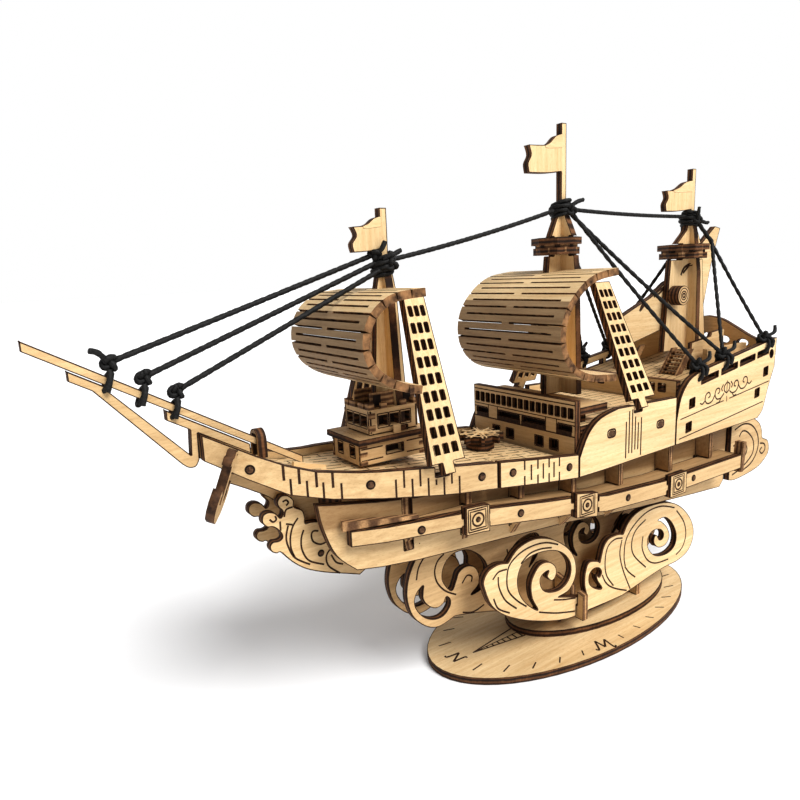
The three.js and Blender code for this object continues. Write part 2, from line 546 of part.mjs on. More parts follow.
place('fore_mast', sailedMast(FORE_MAST));
place('main_mast', sailedMast(MAIN_MAST));
const lateenSlot = box(REAR_MAST.x - 1.2, REAR_MAST.x + 1.2, PLY / 2, PLY / 2 + PLY + 2 * GAP, 111.7, 114.8);
place('rear_mast', cut(sailedMast(REAR_MAST), lateenSlot));
place('fore_sail', cut(sail(FORE_SAIL, FORE_SAIL_HALF), foreClear));
place('main_sail', cut(sail(MAIN_SAIL, MAIN_SAIL_HALF), mainClear));

// Decks and houses that the masts pass through
place('house_deck', cut(houseDeck, mainClear), PALE);
place('house_roof', cut(all([houseRoof, roofLeg(-12), roofLeg(12)]), mainClear, houseDeck), PALE);
place('poop_deck', cut(all([poopWall, poopDeck]), rearClear, ...poopWindows), PALE);
place('transom', crossPlate(transomShape, 88.9, 88.9 + PLY), TAN);
place('forecastle', cut(all([hollowHouse(FORECASTLE, forecastleWindows), brim]), foreClear,
  box(-68, -51.5, -5.5, 5.5, 75.5, 80)), TAN);
place('forecastle_cabin', cut(hollowHouse(CABIN, cabinWindows), foreClear, box(-64, -53.5, -4, 4, 80, 90)), TAN);

// ---------------------------------------------------------------- nests, lateen sail, boss
const NEST_STEP = 0.9;
function nest(x, z0, radius, sides, mastClear) {
  const ring = (r) => disc(x, 0, r, r, sides);
  const upper = levelPlate(ring(radius), z0 + PLY + NEST_STEP, z0 + 2 * PLY + NEST_STEP);
  const lower = levelPlate(ring(radius * 0.92), z0, z0 + PLY);
  const core = levelPlate(ring(radius * 0.84), z0, z0 + 2 * PLY + NEST_STEP);
  return cut(all([upper, lower, core]), mastClear);
}
place('main_nest', nest(MAIN_MAST.x - 2, 119.4, 7.4, 8, mainClear), TAN);
const lateenNotch = box(REAR_MAST.x + 1.8, REAR_MAST.x + 20, PLY / 2, PLY / 2 + PLY + 2 * GAP, 115, 121);
place('rear_nest', cut(nest(REAR_MAST.x - 3.4, 116.6, 8.6, 6, rearClear), lateenNotch), TAN);

const lateen = new THREE.Shape();
lateen.moveTo(97, 127.4);
lateen.lineTo(93.6, 128);
lateen.lineTo(80, 118);
lateen.splineThru([[72, 111], [64, 108.6], [57, 104.4], [48, 101.2], [35.6, 96.6]].map((p) => new THREE.Vector2(...p)));
lateen.lineTo(38, 87);
lateen.lineTo(62, 92);
lateen.lineTo(88, 98);
lateen.lineTo(92, 114);
const lateenPlate = sidePlate(lateen, PLY / 2 + GAP, PLY / 2 + GAP + PLY);
const wideCross = REAR_MAST.cross.map(([z, half]) => [z, half + GAP, half + GAP]);
const crossOfRear = crossPlate(polygon(mastBoard({ cross: wideCross }, true)), REAR_MAST.x - PLY / 2 - GAP,
  REAR_MAST.x + PLY / 2 + GAP);
const keepAbove = box(-REACH, REACH, -REACH, REACH, 0, 112);
place('lateen_sail', cut(lateenPlate, crossOfRear.intersect(keepAbove)));

const boss = sidePlate(disc(65, 104, 3.4, 3.4, 24), -PLY / 2 - GAP - 2 * PLY, -PLY / 2 - GAP);
place('lateen_boss', boss, TAN);

// ---------------------------------------------------------------- ladders
function ladder(foot, top, rows) {
  const rise = top.z - foot.z;
  const lean = Math.atan2(foot.y - top.y, rise);
  const length = Math.hypot(rise, foot.y - top.y);
  const shape = polygon([[foot.x0, 0], [foot.x0 + 3.2, 0], [foot.x0 + 3.2, -2.8], [foot.x0 + 6.4, -2.8], [foot.x0 + 6.4, 0],
    [foot.x1, 0], [top.x1, length], [top.x0, length]]);
  const pitch = (length - 3) / rows;
  for (let row = 0; row < rows; row += 1) {
    const v = 2 + pitch * row;
    const k = (v + pitch * 0.3) / length;
    const left = foot.x0 + (top.x0 - foot.x0) * k;
    const width = foot.x1 - foot.x0 + (top.x1 - top.x0 - foot.x1 + foot.x0) * k;
    for (const u of [0.22, 0.5, 0.78]) {
      const middle = left + width * u;
      const halfWidth = width * 0.078;
      const pane = [[-1, 0], [1, 0], [1, 1], [-1, 1]].map(([a, b]) =>
        new THREE.Vector2(middle + a * halfWidth, v + b * pitch * 0.56));
      shape.holes.push(new THREE.Path(pane));
    }
  }
  return plate(shape, PLY, new THREE.Matrix4().makeRotationX(Math.PI / 2 - lean).setPosition(0, -foot.y, foot.z));
}
const foreLadder = ladder({ x0: -59.3, x1: -49.3, y: 20.2, z: 71 }, { x0: -55.8, x1: -49.6, y: 6, z: 110 }, 9);
const mainLadder = ladder({ x0: 10.2, x1: 21.2, y: 23.2, z: 76.6 }, { x0: 12.6, x1: 19.4, y: 7.6, z: 110 }, 9);
const ladderTab = (x, y, z) => box(x, x + 3.8, -y - 2.6, -y + 3, z - 3.4, z + 1);
placePair('fore_ladder', foreLadder);
placePair('main_ladder', mainLadder);
placePair('gunwale_bow', cut(bowSheet, ladderTab(-56.4, 20.2, 71)));
placePair('gunwale_mid', midSheet);
placePair('gunwale_waist', cut(waistSheet, ladderTab(13.1, 23.2, 76.6)));
placePair('quarter_sheet', quarterSheet);

// ---------------------------------------------------------------- bow
const SPAR_TOP = [[-136.9, 106.9], [-82, 74.2]];
const sparBand = (x0, x1, low, high) => sidePlate(band(SPAR_TOP, x0, x1, low, high), -PLY / 2, PLY / 2);
const upperSpar = sparBand(-136.9, -82, -2, 0);
const lowerFront = sparBand(-129.8, -123.4, -4.3, -2.3);
const lowerRear = sparBand(-112.4, -94.8, -4.5, -2.3);
const bracketShape = new THREE.Shape();
bracketShape.moveTo(-125.8, 96);
bracketShape.lineTo(-110.2, 77.8);
curveTo(bracketShape, [[-108.9, 76.8], [-107.4, 76.8], [-106.5, 78.2]]);
bracketShape.lineTo(-106.3, 85.2);
bracketShape.lineTo(-107.7, 86);
bracketShape.lineTo(-108.1, 79.4);
bracketShape.lineTo(-123.6, 96.3);
bracketShape.lineTo(-124.6, 96.8);
const bracket = sidePlate(bracketShape, -PLY / 2, PLY / 2);
place('bowsprit_spar', upperSpar);
place('bowsprit_bracket', all([lowerFront, lowerRear, bracket]));

const arch = [disc(0, 80.1, 2.5, 2.5, 20), polygon([[-2.5, 76], [2.5, 76], [2.5, 80.1], [-2.5, 80.1]])];
const ringOuter = all(arch.map((shape) => crossPlate(shape, -93.4, -91.4)));
const ringOpening = box(-96, -88, -PLY / 2 - GAP, PLY / 2 + GAP, 74, 81.3);
place('bowsprit_ring', cut(ringOuter, ringOpening), TAN);

const curlShape = new THREE.Shape();
curlShape.moveTo(-70, 41.8);
curveTo(curlShape, [[-79.4, 44.6], [-84.9, 48.7], [-88.6, 53], [-93, 54], [-94.6, 56.6], [-93, 58.6], [-97, 59.6], [-98.2, 62],
  [-96.8, 64.2], [-94, 63.4], [-92, 65.4], [-88.8, 66], [-86, 64]]);
curveTo(curlShape, [[-82.6, 62.6], [-78.6, 60], [-77, 55]]);
curlShape.lineTo(-66, 50);
placePair('stem_curl', cut(sidePlate(curlShape, -5.2, -5.2 + PLY), cheekSpace.intersect(box(-REACH, 0, -REACH, 0, 50, REACH))));

const sternCurl = new THREE.Shape();
sternCurl.moveTo(78.6, 36.4);
curveTo(sternCurl, [[89, 35.8], [99.4, 37.2], [106, 42.4], [108.2, 48.2], [106.2, 51.6], [103.4, 51.2], [102.4, 55], [98, 57.6],
  [91.6, 58.5], [86, 57]]);
sternCurl.lineTo(78.6, 53);
placePair('stern_wave', sidePlate(sternCurl, -17.4, -17.4 + PLY));

const anchorShape = new THREE.Shape();
anchorShape.moveTo(-1.8, 0);
anchorShape.lineTo(2.5, 0);
anchorShape.lineTo(2.5, -1.8);
anchorShape.lineTo(1, -1.8);
anchorShape.lineTo(1, -11);
curveTo(anchorShape, [[3, -10.4], [3.8, -8], [4.6, -10.6], [3.4, -13.8], [0, -15.6]]);
curveTo(anchorShape, [[-3.4, -13.8], [-4.6, -10.6], [-3.8, -8], [-3, -10.4], [-1, -11]]);
anchorShape.lineTo(-1, -1.8);
anchorShape.lineTo(-1.8, -1.8);
const anchorTurn = new THREE.Matrix4().makeBasis(
  new THREE.Vector3(0.382, 0.924, 0),
  new THREE.Vector3(0.334, -0.138, 0.932),
  new THREE.Vector3(0.861, -0.356, -0.361),
);
place('anchor_port', plate(anchorShape, PLY, anchorTurn.setPosition(-102.6, -7.6, 80)), TAN);

// ---------------------------------------------------------------- capstan
const capstanDeck = at(GUNWALE_TOP, CAPSTAN.x) - DECK_DROP + 0.6;
const spindle = levelPlate(disc(CAPSTAN.x, 0, 1, 1, 16), capstanDeck, capstanDeck + 4.4);
const capstanRing = levelPlate(disc(CAPSTAN.x, 0, CAPSTAN.ring, CAPSTAN.ring, 24), capstanDeck, capstanDeck + PLY);
place('capstan_base', capstanRing.add(spindle), TAN);

function capstanWheel() {
  const z0 = capstanDeck + PLY + GAP;
  const hub = levelPlate(disc(CAPSTAN.x, 0, 2.4, 2.4, 24), z0, z0 + PLY);
  const rim = cut(levelPlate(disc(CAPSTAN.x, 0, 4.9, 4.9, 24), z0, z0 + PLY),
    levelPlate(disc(CAPSTAN.x, 0, 3.7, 3.7, 24), z0 - 1, z0 + PLY + 1));
  const spokes = [];
  for (let i = 0; i < CAPSTAN.spokes / 2; i += 1) {
    const bar = new THREE.BoxGeometry(2 * CAPSTAN.wheel, 0.9, PLY);
    bar.rotateZ((Math.PI * i) / (CAPSTAN.spokes / 2) + 0.2);
    spokes.push(solid(bar.translate(CAPSTAN.x, 0, z0 + PLY / 2)));
  }
  const bore = levelPlate(disc(CAPSTAN.x, 0, 1 + GAP, 1 + GAP, 16), z0 - 1, z0 + PLY + 1);
  return cut(all([hub, rim, ...spokes]), bore);
}
place('capstan_wheel', capstanWheel(), TAN);

// ---------------------------------------------------------------- rigging
const FORE_HEAD = [FORE_MAST.x, 0, 118.6];
const MAIN_HEAD = [MAIN_MAST.x, 0, 134.8];
const REAR_HEAD = [REAR_MAST.x, 0, 131.2];
const sparPoint = (x) => [x, 0, at(SPAR_TOP, x) + 1];
const BOW_KNOTS = [-122, -115.8, -109.6].map(sparPoint);
const foreLines = BOW_KNOTS.map((end, i) => cord([[FORE_MAST.x, 0, 119 - i * 0.8], [end[0], end[1], end[2] + 0.4]]));
const foreKnots = BOW_KNOTS.map(([x, y, z]) => knot([x, y, z], 2.2));
const clearSpar = sidePlate(band(SPAR_TOP, -140, -70, -5.4, GAP), -PLY / 2 - GAP, PLY / 2 + GAP);
const foreCollar = knot(FORE_HEAD, 2.6);
const foreRigging = cut(all([...foreLines, ...foreKnots, foreCollar]), foreClear, clearSpar);

const flip = ([x, y, z]) => [x, -y, z];
const RAIL_KNOTS = [[46, 83.4], [60.3, 85.4], [86, 88.4]].map(([x, z]) => [x, -HALF_BREADTH.at(-1)[1] + PLY / 2, z]);
const sideLines = [];
for (const side of [(p) => p, flip]) {
  sideLines.push(cord([MAIN_HEAD, side(RAIL_KNOTS[0])]));
  sideLines.push(cord([MAIN_HEAD, side(RAIL_KNOTS[1])]));
  const nestEdge = side([REAR_MAST.x + 4.4, -6, 123]);
  sideLines.push(cord([REAR_HEAD, nestEdge, side(RAIL_KNOTS[1])]));
  sideLines.push(cord([REAR_HEAD, side([REAR_MAST.x + 5.4, -5, 123]), side(RAIL_KNOTS[2])]));
}
const sideKnots = RAIL_KNOTS.flatMap((p) => [knot(p, 2), knot(flip(p), 2)]);
const rearNestClear = levelPlate(disc(REAR_MAST.x - 3.4, 0, 8.6 + GAP, 8.6 + GAP, 6), 116.3, 121.8);
const quarterClear = sidePlate(band([[46.5, 81.4], [STERN_X, 87.9]], 34, 94, -20, GAP), -26, 26);
const headLine = cord([FORE_HEAD, MAIN_HEAD, REAR_HEAD]);
const headKnots = [knot(MAIN_HEAD, 2.9), knot(REAR_HEAD, 2.6)];
const nestClear = levelPlate(disc(MAIN_MAST.x - 2, 0, 7.7, 7.7, 8), 119.1, 124.6);
const mainRigging = cut(all([headLine, ...headKnots, ...sideLines, ...sideKnots]), foreCollar, foreClear, mainClear,
  rearClear, rearNestClear, nestClear, quarterClear);
place('rigging_fore', foreRigging, CORD_BLACK);
place('rigging_aft', mainRigging, CORD_BLACK);

export default ship;
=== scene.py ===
"""Blender scene of a plywood model ship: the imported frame, its finishes and its fine detail."""
import math
import random

import bmesh
import bpy
from mathutils import Matrix, Vector
from mathutils.bvhtree import BVHTree


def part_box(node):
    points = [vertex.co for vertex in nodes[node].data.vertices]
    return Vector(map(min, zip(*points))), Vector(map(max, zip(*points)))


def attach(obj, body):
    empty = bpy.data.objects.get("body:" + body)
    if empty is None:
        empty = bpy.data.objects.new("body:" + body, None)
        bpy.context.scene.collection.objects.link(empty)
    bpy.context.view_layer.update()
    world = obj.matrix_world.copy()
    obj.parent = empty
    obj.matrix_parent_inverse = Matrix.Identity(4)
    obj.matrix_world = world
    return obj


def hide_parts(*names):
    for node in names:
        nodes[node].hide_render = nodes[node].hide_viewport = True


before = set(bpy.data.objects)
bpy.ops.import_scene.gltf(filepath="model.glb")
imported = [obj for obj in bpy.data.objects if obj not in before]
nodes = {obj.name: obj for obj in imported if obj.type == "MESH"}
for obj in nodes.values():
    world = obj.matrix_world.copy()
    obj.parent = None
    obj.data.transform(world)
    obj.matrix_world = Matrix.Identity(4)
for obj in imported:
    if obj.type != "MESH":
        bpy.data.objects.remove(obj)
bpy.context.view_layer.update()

MM = 0.001
PLY = 2.0
BEVEL = 0.06
scene = bpy.context.scene
SIDES = (("port", 1), ("starboard", -1))

# ------------------------------------------------------------------ camera
CAMERA_AT = (-145.4, -138.6, 116.3)
YAW, PITCH, ROLL = math.radians(33.79), math.radians(11.18), math.radians(2.53)
SENSOR_WIDTH, LENS = 36, 29.088
camera_data = bpy.data.cameras.new("camera")
camera_data.sensor_width = SENSOR_WIDTH
camera_data.lens = LENS
camera_data.clip_start = 0.01
camera = bpy.data.objects.new("camera", camera_data)
ahead = Vector((math.sin(YAW) * math.cos(PITCH), math.cos(YAW) * math.cos(PITCH), -math.sin(PITCH)))
level = Vector((math.cos(YAW), -math.sin(YAW), 0))
below = ahead.cross(level)
right = level * math.cos(ROLL) + below * math.sin(ROLL)
down = below * math.cos(ROLL) - level * math.sin(ROLL)
turn = Matrix((right, -down, -ahead)).transposed()
camera.matrix_world = Matrix.Translation(Vector(CAMERA_AT) * MM) @ turn.to_4x4()
scene.collection.objects.link(camera)
scene.camera = camera

# ------------------------------------------------------------------ materials
def new_material(name):
    material = bpy.data.materials.new(name)
    material.use_nodes = True
    tree = material.node_tree
    return material, tree, tree.nodes["Principled BSDF"]


def scaled_coordinates(tree, scale):
    source = tree.nodes.new("ShaderNodeTexCoord")
    mapping = tree.nodes.new("ShaderNodeMapping")
    mapping.inputs["Scale"].default_value = scale
    tree.links.new(source.outputs["Object"], mapping.inputs["Vector"])
    return mapping.outputs["Vector"]


def noise(tree, vector, scale, detail=3, roughness=0.5, distortion=0.0):
    node = tree.nodes.new("ShaderNodeTexNoise")
    node.inputs["Scale"].default_value = scale
    node.inputs["Detail"].default_value = detail
    node.inputs["Roughness"].default_value = roughness
    node.inputs["Distortion"].default_value = distortion
    tree.links.new(vector, node.inputs["Vector"])
    return node.outputs["Fac"]


def ramp(tree, value, stops):
    node = tree.nodes.new("ShaderNodeValToRGB")
    elements = node.color_ramp.elements
    while len(elements) < len(stops):
        elements.new(0.5)
    for element, (place, colour) in zip(elements, stops):
        element.position = place
        element.color = (*colour, 1)
    tree.links.new(value, node.inputs["Fac"])
    return node.outputs["Color"]


def mix(tree, kind, amount, first, second):
    node = tree.nodes.new("ShaderNodeMix")
    node.data_type = "RGBA"
    node.blend_type = kind
    node.inputs["Factor"].default_value = amount
    tree.links.new(first, node.inputs["A"])
    tree.links.new(second, node.inputs["B"])
    return node.outputs["Result"]


def bump(tree, shader, height, strength, distance):
    node = tree.nodes.new("ShaderNodeBump")
    node.inputs["Strength"].default_value = strength
    node.inputs["Distance"].default_value = distance
    tree.links.new(height, node.inputs["Height"])
    tree.links.new(node.outputs["Normal"], shader.inputs["Normal"])


def along(grain, long_scale, cross_scale):
    return tuple(long_scale if axis == grain else cross_scale for axis in "xyz")


def face_material(name, grain, pale, deep, painted_shade_line=None):
    """Sanded birch face: soft grain, short pores, slow drift and, if asked, painted shade above a sloping
    line.
    """
    material, tree, shader = new_material(name)
    fibres = noise(tree, scaled_coordinates(tree, along(grain, 45, 900)), 1.0, 4, 0.62, 0.25)
    drift = noise(tree, scaled_coordinates(tree, along(grain, 14, 60)), 1.0, 2, 0.5, 0.4)
    pores = noise(tree, scaled_coordinates(tree, along(grain, 700, 4200)), 1.0, 2, 0.6)
    middle = tuple((a + b) / 2 for a, b in zip(pale, deep))
    colour = ramp(tree, fibres, [(0.28, deep), (0.5, middle), (0.72, pale)])
    slow = ramp(tree, drift, [(0.3, (0.80, 0.76, 0.70)), (0.7, (1.08, 1.07, 1.05))])
    specks = ramp(tree, pores, [(0.34, (0.80, 0.74, 0.66)), (0.47, (1, 1, 1))])
    colour = mix(tree, "MULTIPLY", 0.8, colour, slow)
    colour = mix(tree, "MULTIPLY", 0.55, colour, specks)
    # Painted shade: the face turns darker above the sloping line.
    if painted_shade_line:
        height = tree.nodes.new("ShaderNodeVectorMath")
        height.operation = "DOT_PRODUCT"
        height.inputs[1].default_value = painted_shade_line
        tree.links.new(scaled_coordinates(tree, (1, 1, 1)), height.inputs[0])
        painted_shade = ramp(tree, height.outputs["Value"], [(0.525, (1, 1, 1)), (0.538, (0.52, 0.45, 0.38))])
        colour = mix(tree, "MULTIPLY", 1.0, colour, painted_shade)
    tree.links.new(colour, shader.inputs["Base Color"])
    shader.inputs["Roughness"].default_value = 0.62
    shader.inputs["Specular IOR Level"].default_value = 0.32
    bump(tree, shader, fibres, 0.25, 0.00008)
    return material


def edge_material(name, across, char, ember):
    """Laser-cut edge: three plies seen end on, charred unevenly, with cut striations."""
    material, tree, shader = new_material(name)
    wave = tree.nodes.new("ShaderNodeTexWave")
    wave.wave_type = "BANDS"
    wave.bands_direction = across.upper()
    wave.inputs["Scale"].default_value = 240
    wave.inputs["Distortion"].default_value = 1.2
    wave.inputs["Detail Scale"].default_value = 2.0
    tree.links.new(scaled_coordinates(tree, (1, 1, 1)), wave.inputs["Vector"])
    striations = noise(tree, scaled_coordinates(tree, along(across, 260, 2600)), 1.0, 3, 0.6)
    burn = noise(tree, scaled_coordinates(tree, (1, 1, 1)), 190, 3, 0.6)
    middle = tuple(0.62 * a + 0.38 * b for a, b in zip(char, ember))
    plies = ramp(tree, wave.outputs["Fac"], [(0.2, char), (0.5, middle), (0.82, ember)])
    scorch = ramp(tree, burn, [(0.3, (0.42, 0.36, 0.32)), (0.62, (1.15, 1.1, 1.05))])
    streaks = ramp(tree, striations, [(0.35, (0.6, 0.55, 0.5)), (0.6, (1.1, 1.1, 1.1))])
    colour = mix(tree, "MULTIPLY", 0.9, plies, scorch)
    colour = mix(tree, "MULTIPLY", 0.7, colour, streaks)
    tree.links.new(colour, shader.inputs["Base Color"])
    shader.inputs["Roughness"].default_value = 0.7
    shader.inputs["Specular IOR Level"].default_value = 0.25
    bump(tree, shader, striations, 0.4, 0.0001)
    return material


def flecked_material(name, low, high, scale, roughness):
    material, tree, shader = new_material(name)
    spots = noise(tree, scaled_coordinates(tree, (1, 1, 1)), scale, 4, 0.6)
    tree.links.new(ramp(tree, spots, [(0.35, low), (0.65, high)]), shader.inputs["Base Color"])
    shader.inputs["Roughness"].default_value = roughness
    shader.inputs["Specular IOR Level"].default_value = 0.25
    bump(tree, shader, spots, 0.3, 0.00005)
    return material


def each_axis(recipe, name, *colours):
    """The same material for each direction of the grain or of the plies."""
    return {axis: recipe(f"{name}_{axis}", axis, *colours) for axis in "xyz"}


# PALE and DEEP tone the lit plywood; CREAM, TAN, HONEY, NUT and UMBER tone its copies darkened as painted
# shade.
PALE, CREAM, DEEP, TAN = (0.84, 0.66, 0.40), (0.70, 0.50, 0.27), (0.68, 0.47, 0.24), (0.52, 0.34, 0.17)
HONEY, NUT, UMBER = (0.75, 0.56, 0.315), (0.56, 0.375, 0.19), (0.37, 0.225, 0.105)
CHAR, EMBER = (0.030, 0.014, 0.007), (0.17, 0.080, 0.034)
TOAST, CRUST = (0.15, 0.080, 0.040), (0.48, 0.30, 0.15)
# Slope of the shelf line; the hull skin above it gets painted shade.
SHELF_SLOPE = (0.66, 0, 10)
# The lit plywood face, then its copies darkened as painted shade: shade, half shade and deep shade.
face = each_axis(face_material, "ply_face", PALE, DEEP)
shade_face = each_axis(face_material, "ply_tan", CREAM, TAN)
half_shade_face = each_axis(face_material, "ply_warm", HONEY, NUT)
deep_shade_face = each_axis(face_material, "ply_inner", NUT, UMBER)
skin_face = {"x": face_material("ply_skin", "x", HONEY, NUT, SHELF_SLOPE)}
edge = each_axis(edge_material, "ply_edge", CHAR, EMBER)
rib_edge = each_axis(edge_material, "rib_edge", TOAST, CRUST)
anchor_edge = flecked_material("anchor_edge", (0.030, 0.013, 0.006), (0.13, 0.062, 0.027), 480, 0.7)
# Painted shade for the sail faces turned towards the bow.
sail_painted_shade = face_material("sail_painted_shade", "y", (0.42, 0.29, 0.16), (0.27, 0.17, 0.085))
sail_edge = flecked_material("sail_edge", (0.045, 0.02, 0.009), (0.34, 0.18, 0.078), 420, 0.75)
burnt = flecked_material("engraved_line", (0.022, 0.009, 0.004), (0.060, 0.026, 0.011), 900, 0.8)
# Painted shade: near-black for the gaps round pegs, the slots in the roof rails and the boxes behind
# windows.
painted_hole_shade = flecked_material("hole_painted_shade", (0.010, 0.005, 0.003), (0.024, 0.012, 0.007), 700, 0.85)
peg_end = flecked_material("peg_end", (0.040, 0.019, 0.010), (0.150, 0.078, 0.038), 1400, 0.75)
cord_black = flecked_material("braided_cord", (0.006, 0.006, 0.006), (0.022, 0.021, 0.020), 2600, 0.62)

# ------------------------------------------------------------------ mesh helpers
def add_object(name, mesh, body="ship"):
    piece = bpy.data.objects.new(name, mesh)
    scene.collection.objects.link(piece)
    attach(piece, body)
    return piece


def finish_mesh(bm, name, materials, body="ship", smooth=False):
    mesh = bpy.data.meshes.new(name)
    bm.to_mesh(mesh)
    bm.free()
    for material in materials:
        mesh.materials.append(material)
    if smooth:
        for polygon in mesh.polygons:
            polygon.use_smooth = True
    return add_object(name, mesh, body)


def spline(points, steps=6, closed=False):
    """A Catmull-Rom line through the given points, two or three numbers each."""
    knots = [Vector(p) for p in points]
    count = len(knots)
    spans = count if closed else count - 1
    line = []
    for i in range(spans):
        if closed:
            p0, p1, p2, p3 = (knots[(i + k) % count] for k in (-1, 0, 1, 2))
        else:
            p0, p1, p2, p3 = (knots[min(max(i + k, 0), count - 1)] for k in (-1, 0, 1, 2))
        for step in range(steps):
            t = step / steps
            line.append(0.5 * ((2 * p1) + (p2 - p0) * t + (2 * p0 - 5 * p1 + 4 * p2 - p3) * t * t
                               + (3 * p1 - p0 - 3 * p2 + p3) * t ** 3))
    if not closed:
        line.append(knots[-1].copy())
    return line


def add_strip(bm, line, normals, width, height, sunk):
    """A thin closed ribbon lying on a face: line and normals in mm."""
    rings = []
    last = len(line) - 1
    for i, (point, normal) in enumerate(zip(line, normals)):
        tangent = (line[min(i + 1, last)] - line[max(i - 1, 0)]).normalized()
        side = normal.cross(tangent).normalized() * (width / 2)
        low, high = normal * -sunk, normal * (height - sunk)
        rings.append([bm.verts.new((point + a + b) * MM) for a, b in
                      ((side, low), (side, high), (-side, high), (-side, low))])
    for first, second in zip(rings, rings[1:]):
        for k in range(4):
            bm.faces.new((first[k], first[(k + 1) % 4], second[(k + 1) % 4], second[k]))
    bm.faces.new(list(reversed(rings[0])))
    bm.faces.new(rings[-1])


def add_prism(bm, corners, offset, material_index=0):
    """A closed prism: corners of one face (mm) and the vector to the opposite face."""
    offset = Vector(offset)
    near = [bm.verts.new(Vector(c) * MM) for c in corners]
    far = [bm.verts.new((Vector(c) + offset) * MM) for c in corners]
    count = len(near)
    walls = [(near[k], near[(k + 1) % count], far[(k + 1) % count], far[k]) for k in range(count)]
    for ring in [list(reversed(near)), far] + walls:
        bm.faces.new(ring).material_index = material_index


def add_disc(bm, centre, axis, radius, height, segments=24):
    """A low round plug standing on a face, its foot sunk a little into it."""
    sunk = 0.05
    axis = Vector(axis).normalized()
    first = axis.cross(Vector((0, 0, 1)))
    first = first.normalized() if first.length > 0.1 else Vector((1, 0, 0))
    second = axis.cross(first)
    start = Vector(centre) - axis * sunk
    angles = [math.tau * k / segments for k in range(segments)]
    corners = [start + first * radius * math.cos(a) + second * radius * math.sin(a) for a in angles]
    add_prism(bm, corners, axis * (height + sunk))


def flat_plate(name, outline, holes, to_space, thickness, faces, edges):
    """A plate cut from the sheet: outline and holes in mm in its own plane, placed by a matrix in mm."""
    curve = bpy.data.curves.new(name, "CURVE")
    curve.dimensions = "2D"
    curve.fill_mode = "BOTH"
    curve.extrude = (thickness / 2 - BEVEL) * MM
    curve.bevel_depth = BEVEL * MM
    curve.offset = -BEVEL * MM
    curve.bevel_resolution = 0
    for loop in [outline] + holes:
        loop = [point for i, point in enumerate(loop) if math.dist(point, loop[i - 1]) > 0.12]
        line = curve.splines.new("POLY")
        line.points.add(len(loop) - 1)
        for place, point in zip(line.points, loop):
            place.co = (point[0] * MM, point[1] * MM, 0, 1)
        line.use_cyclic_u = True
    shape = bpy.data.objects.new(name + "_shape", curve)
    scene.collection.objects.link(shape)
    bpy.context.view_layer.update()
    mesh = bpy.data.meshes.new_from_object(shape.evaluated_get(bpy.context.evaluated_depsgraph_get()))
    bpy.data.objects.remove(shape)
    bpy.data.curves.remove(curve)
    mesh.materials.clear()
    mesh.materials.append(faces)
    mesh.materials.append(edges)
    bm = bmesh.new()
    bm.from_mesh(mesh)
    bmesh.ops.remove_doubles(bm, verts=bm.verts, dist=2e-6)
    bm.normal_update()
    for polygon in bm.faces:
        polygon.material_index = 0 if abs(polygon.normal.z) > 0.9 else 1
    scale = Matrix.Scale(MM, 4)
    bmesh.ops.transform(bm, verts=bm.verts, matrix=scale @ to_space @ scale.inverted())
    bmesh.ops.recalc_face_normals(bm, faces=bm.faces)
    bm.to_mesh(mesh)
    bm.free()
    mesh.name = name
    return add_object(name, mesh)


def side_space(y_middle):
    """Plane X-Z, with the plate's middle at y_middle."""
    return Matrix(((1, 0, 0, 0), (0, 0, -1, y_middle), (0, 1, 0, 0), (0, 0, 0, 1)))


def at(stations, x):
    """The value at x on a straight-sided line given as (x, value) stations."""
    if x <= stations[0][0]:
        return stations[0][1]
    for (x0, v0), (x1, v1) in zip(stations, stations[1:]):
        if x <= x1:
            return v0 + (v1 - v0) * (x - x0) / (x1 - x0)
    return stations[-1][1]


# ------------------------------------------------------------------ CAD nodes: faces and edges
SHEET_NORMALS = (("z", ("capstan", "main_nest", "rear_nest", "main_deck", "hull_shelf")),
                 ("y", ("wale", "lateen_boss", "bow_cheek", "hull_skin", "gunwale", "quarter_sheet")),
                 ("x", ("bowsprit_ring",)))
# Painted shade: the pieces in HALF_SHADED, DEEP_SHADED and SHADED take the darkened copies of the plywood
# face.
HALF_SHADED = ("gunwale_bow", "bowsprit_spar", "bowsprit_bracket", "wale", "poop_deck", "house_roof")
DEEP_SHADED = ("keel_and_ribs", "hull_shelf")
SHADED = ("house_front", "forecastle", "transom", "bow_cheek", "main_nest", "rear_nest", "wave_tie",
          "capstan", "bowsprit_ring", "anchor", "lateen_boss")
FAMILIES = ((("hull_skin",), skin_face), (DEEP_SHADED, deep_shade_face), (SHADED, shade_face), (HALF_SHADED, half_shade_face))
UPRIGHT = ("fore_mast", "main_mast", "rear_mast", "fore_ladder", "main_ladder", "anchor")
ATHWART = ("house_front", "transom", "wave_tie", "poop_deck")
SCORCHED_LIGHTLY = ("keel", "hull_shelf", "wave_tie")
FORE_X, MAIN_X, REAR_X = -56, 8.4, 75
MAST_X = {"fore_mast": FORE_X, "main_mast": MAIN_X, "rear_mast": REAR_X}
ANCHOR_NORMAL = Vector((0.861, -0.356, -0.361))
CABIN_GAP = (75.6, 77)


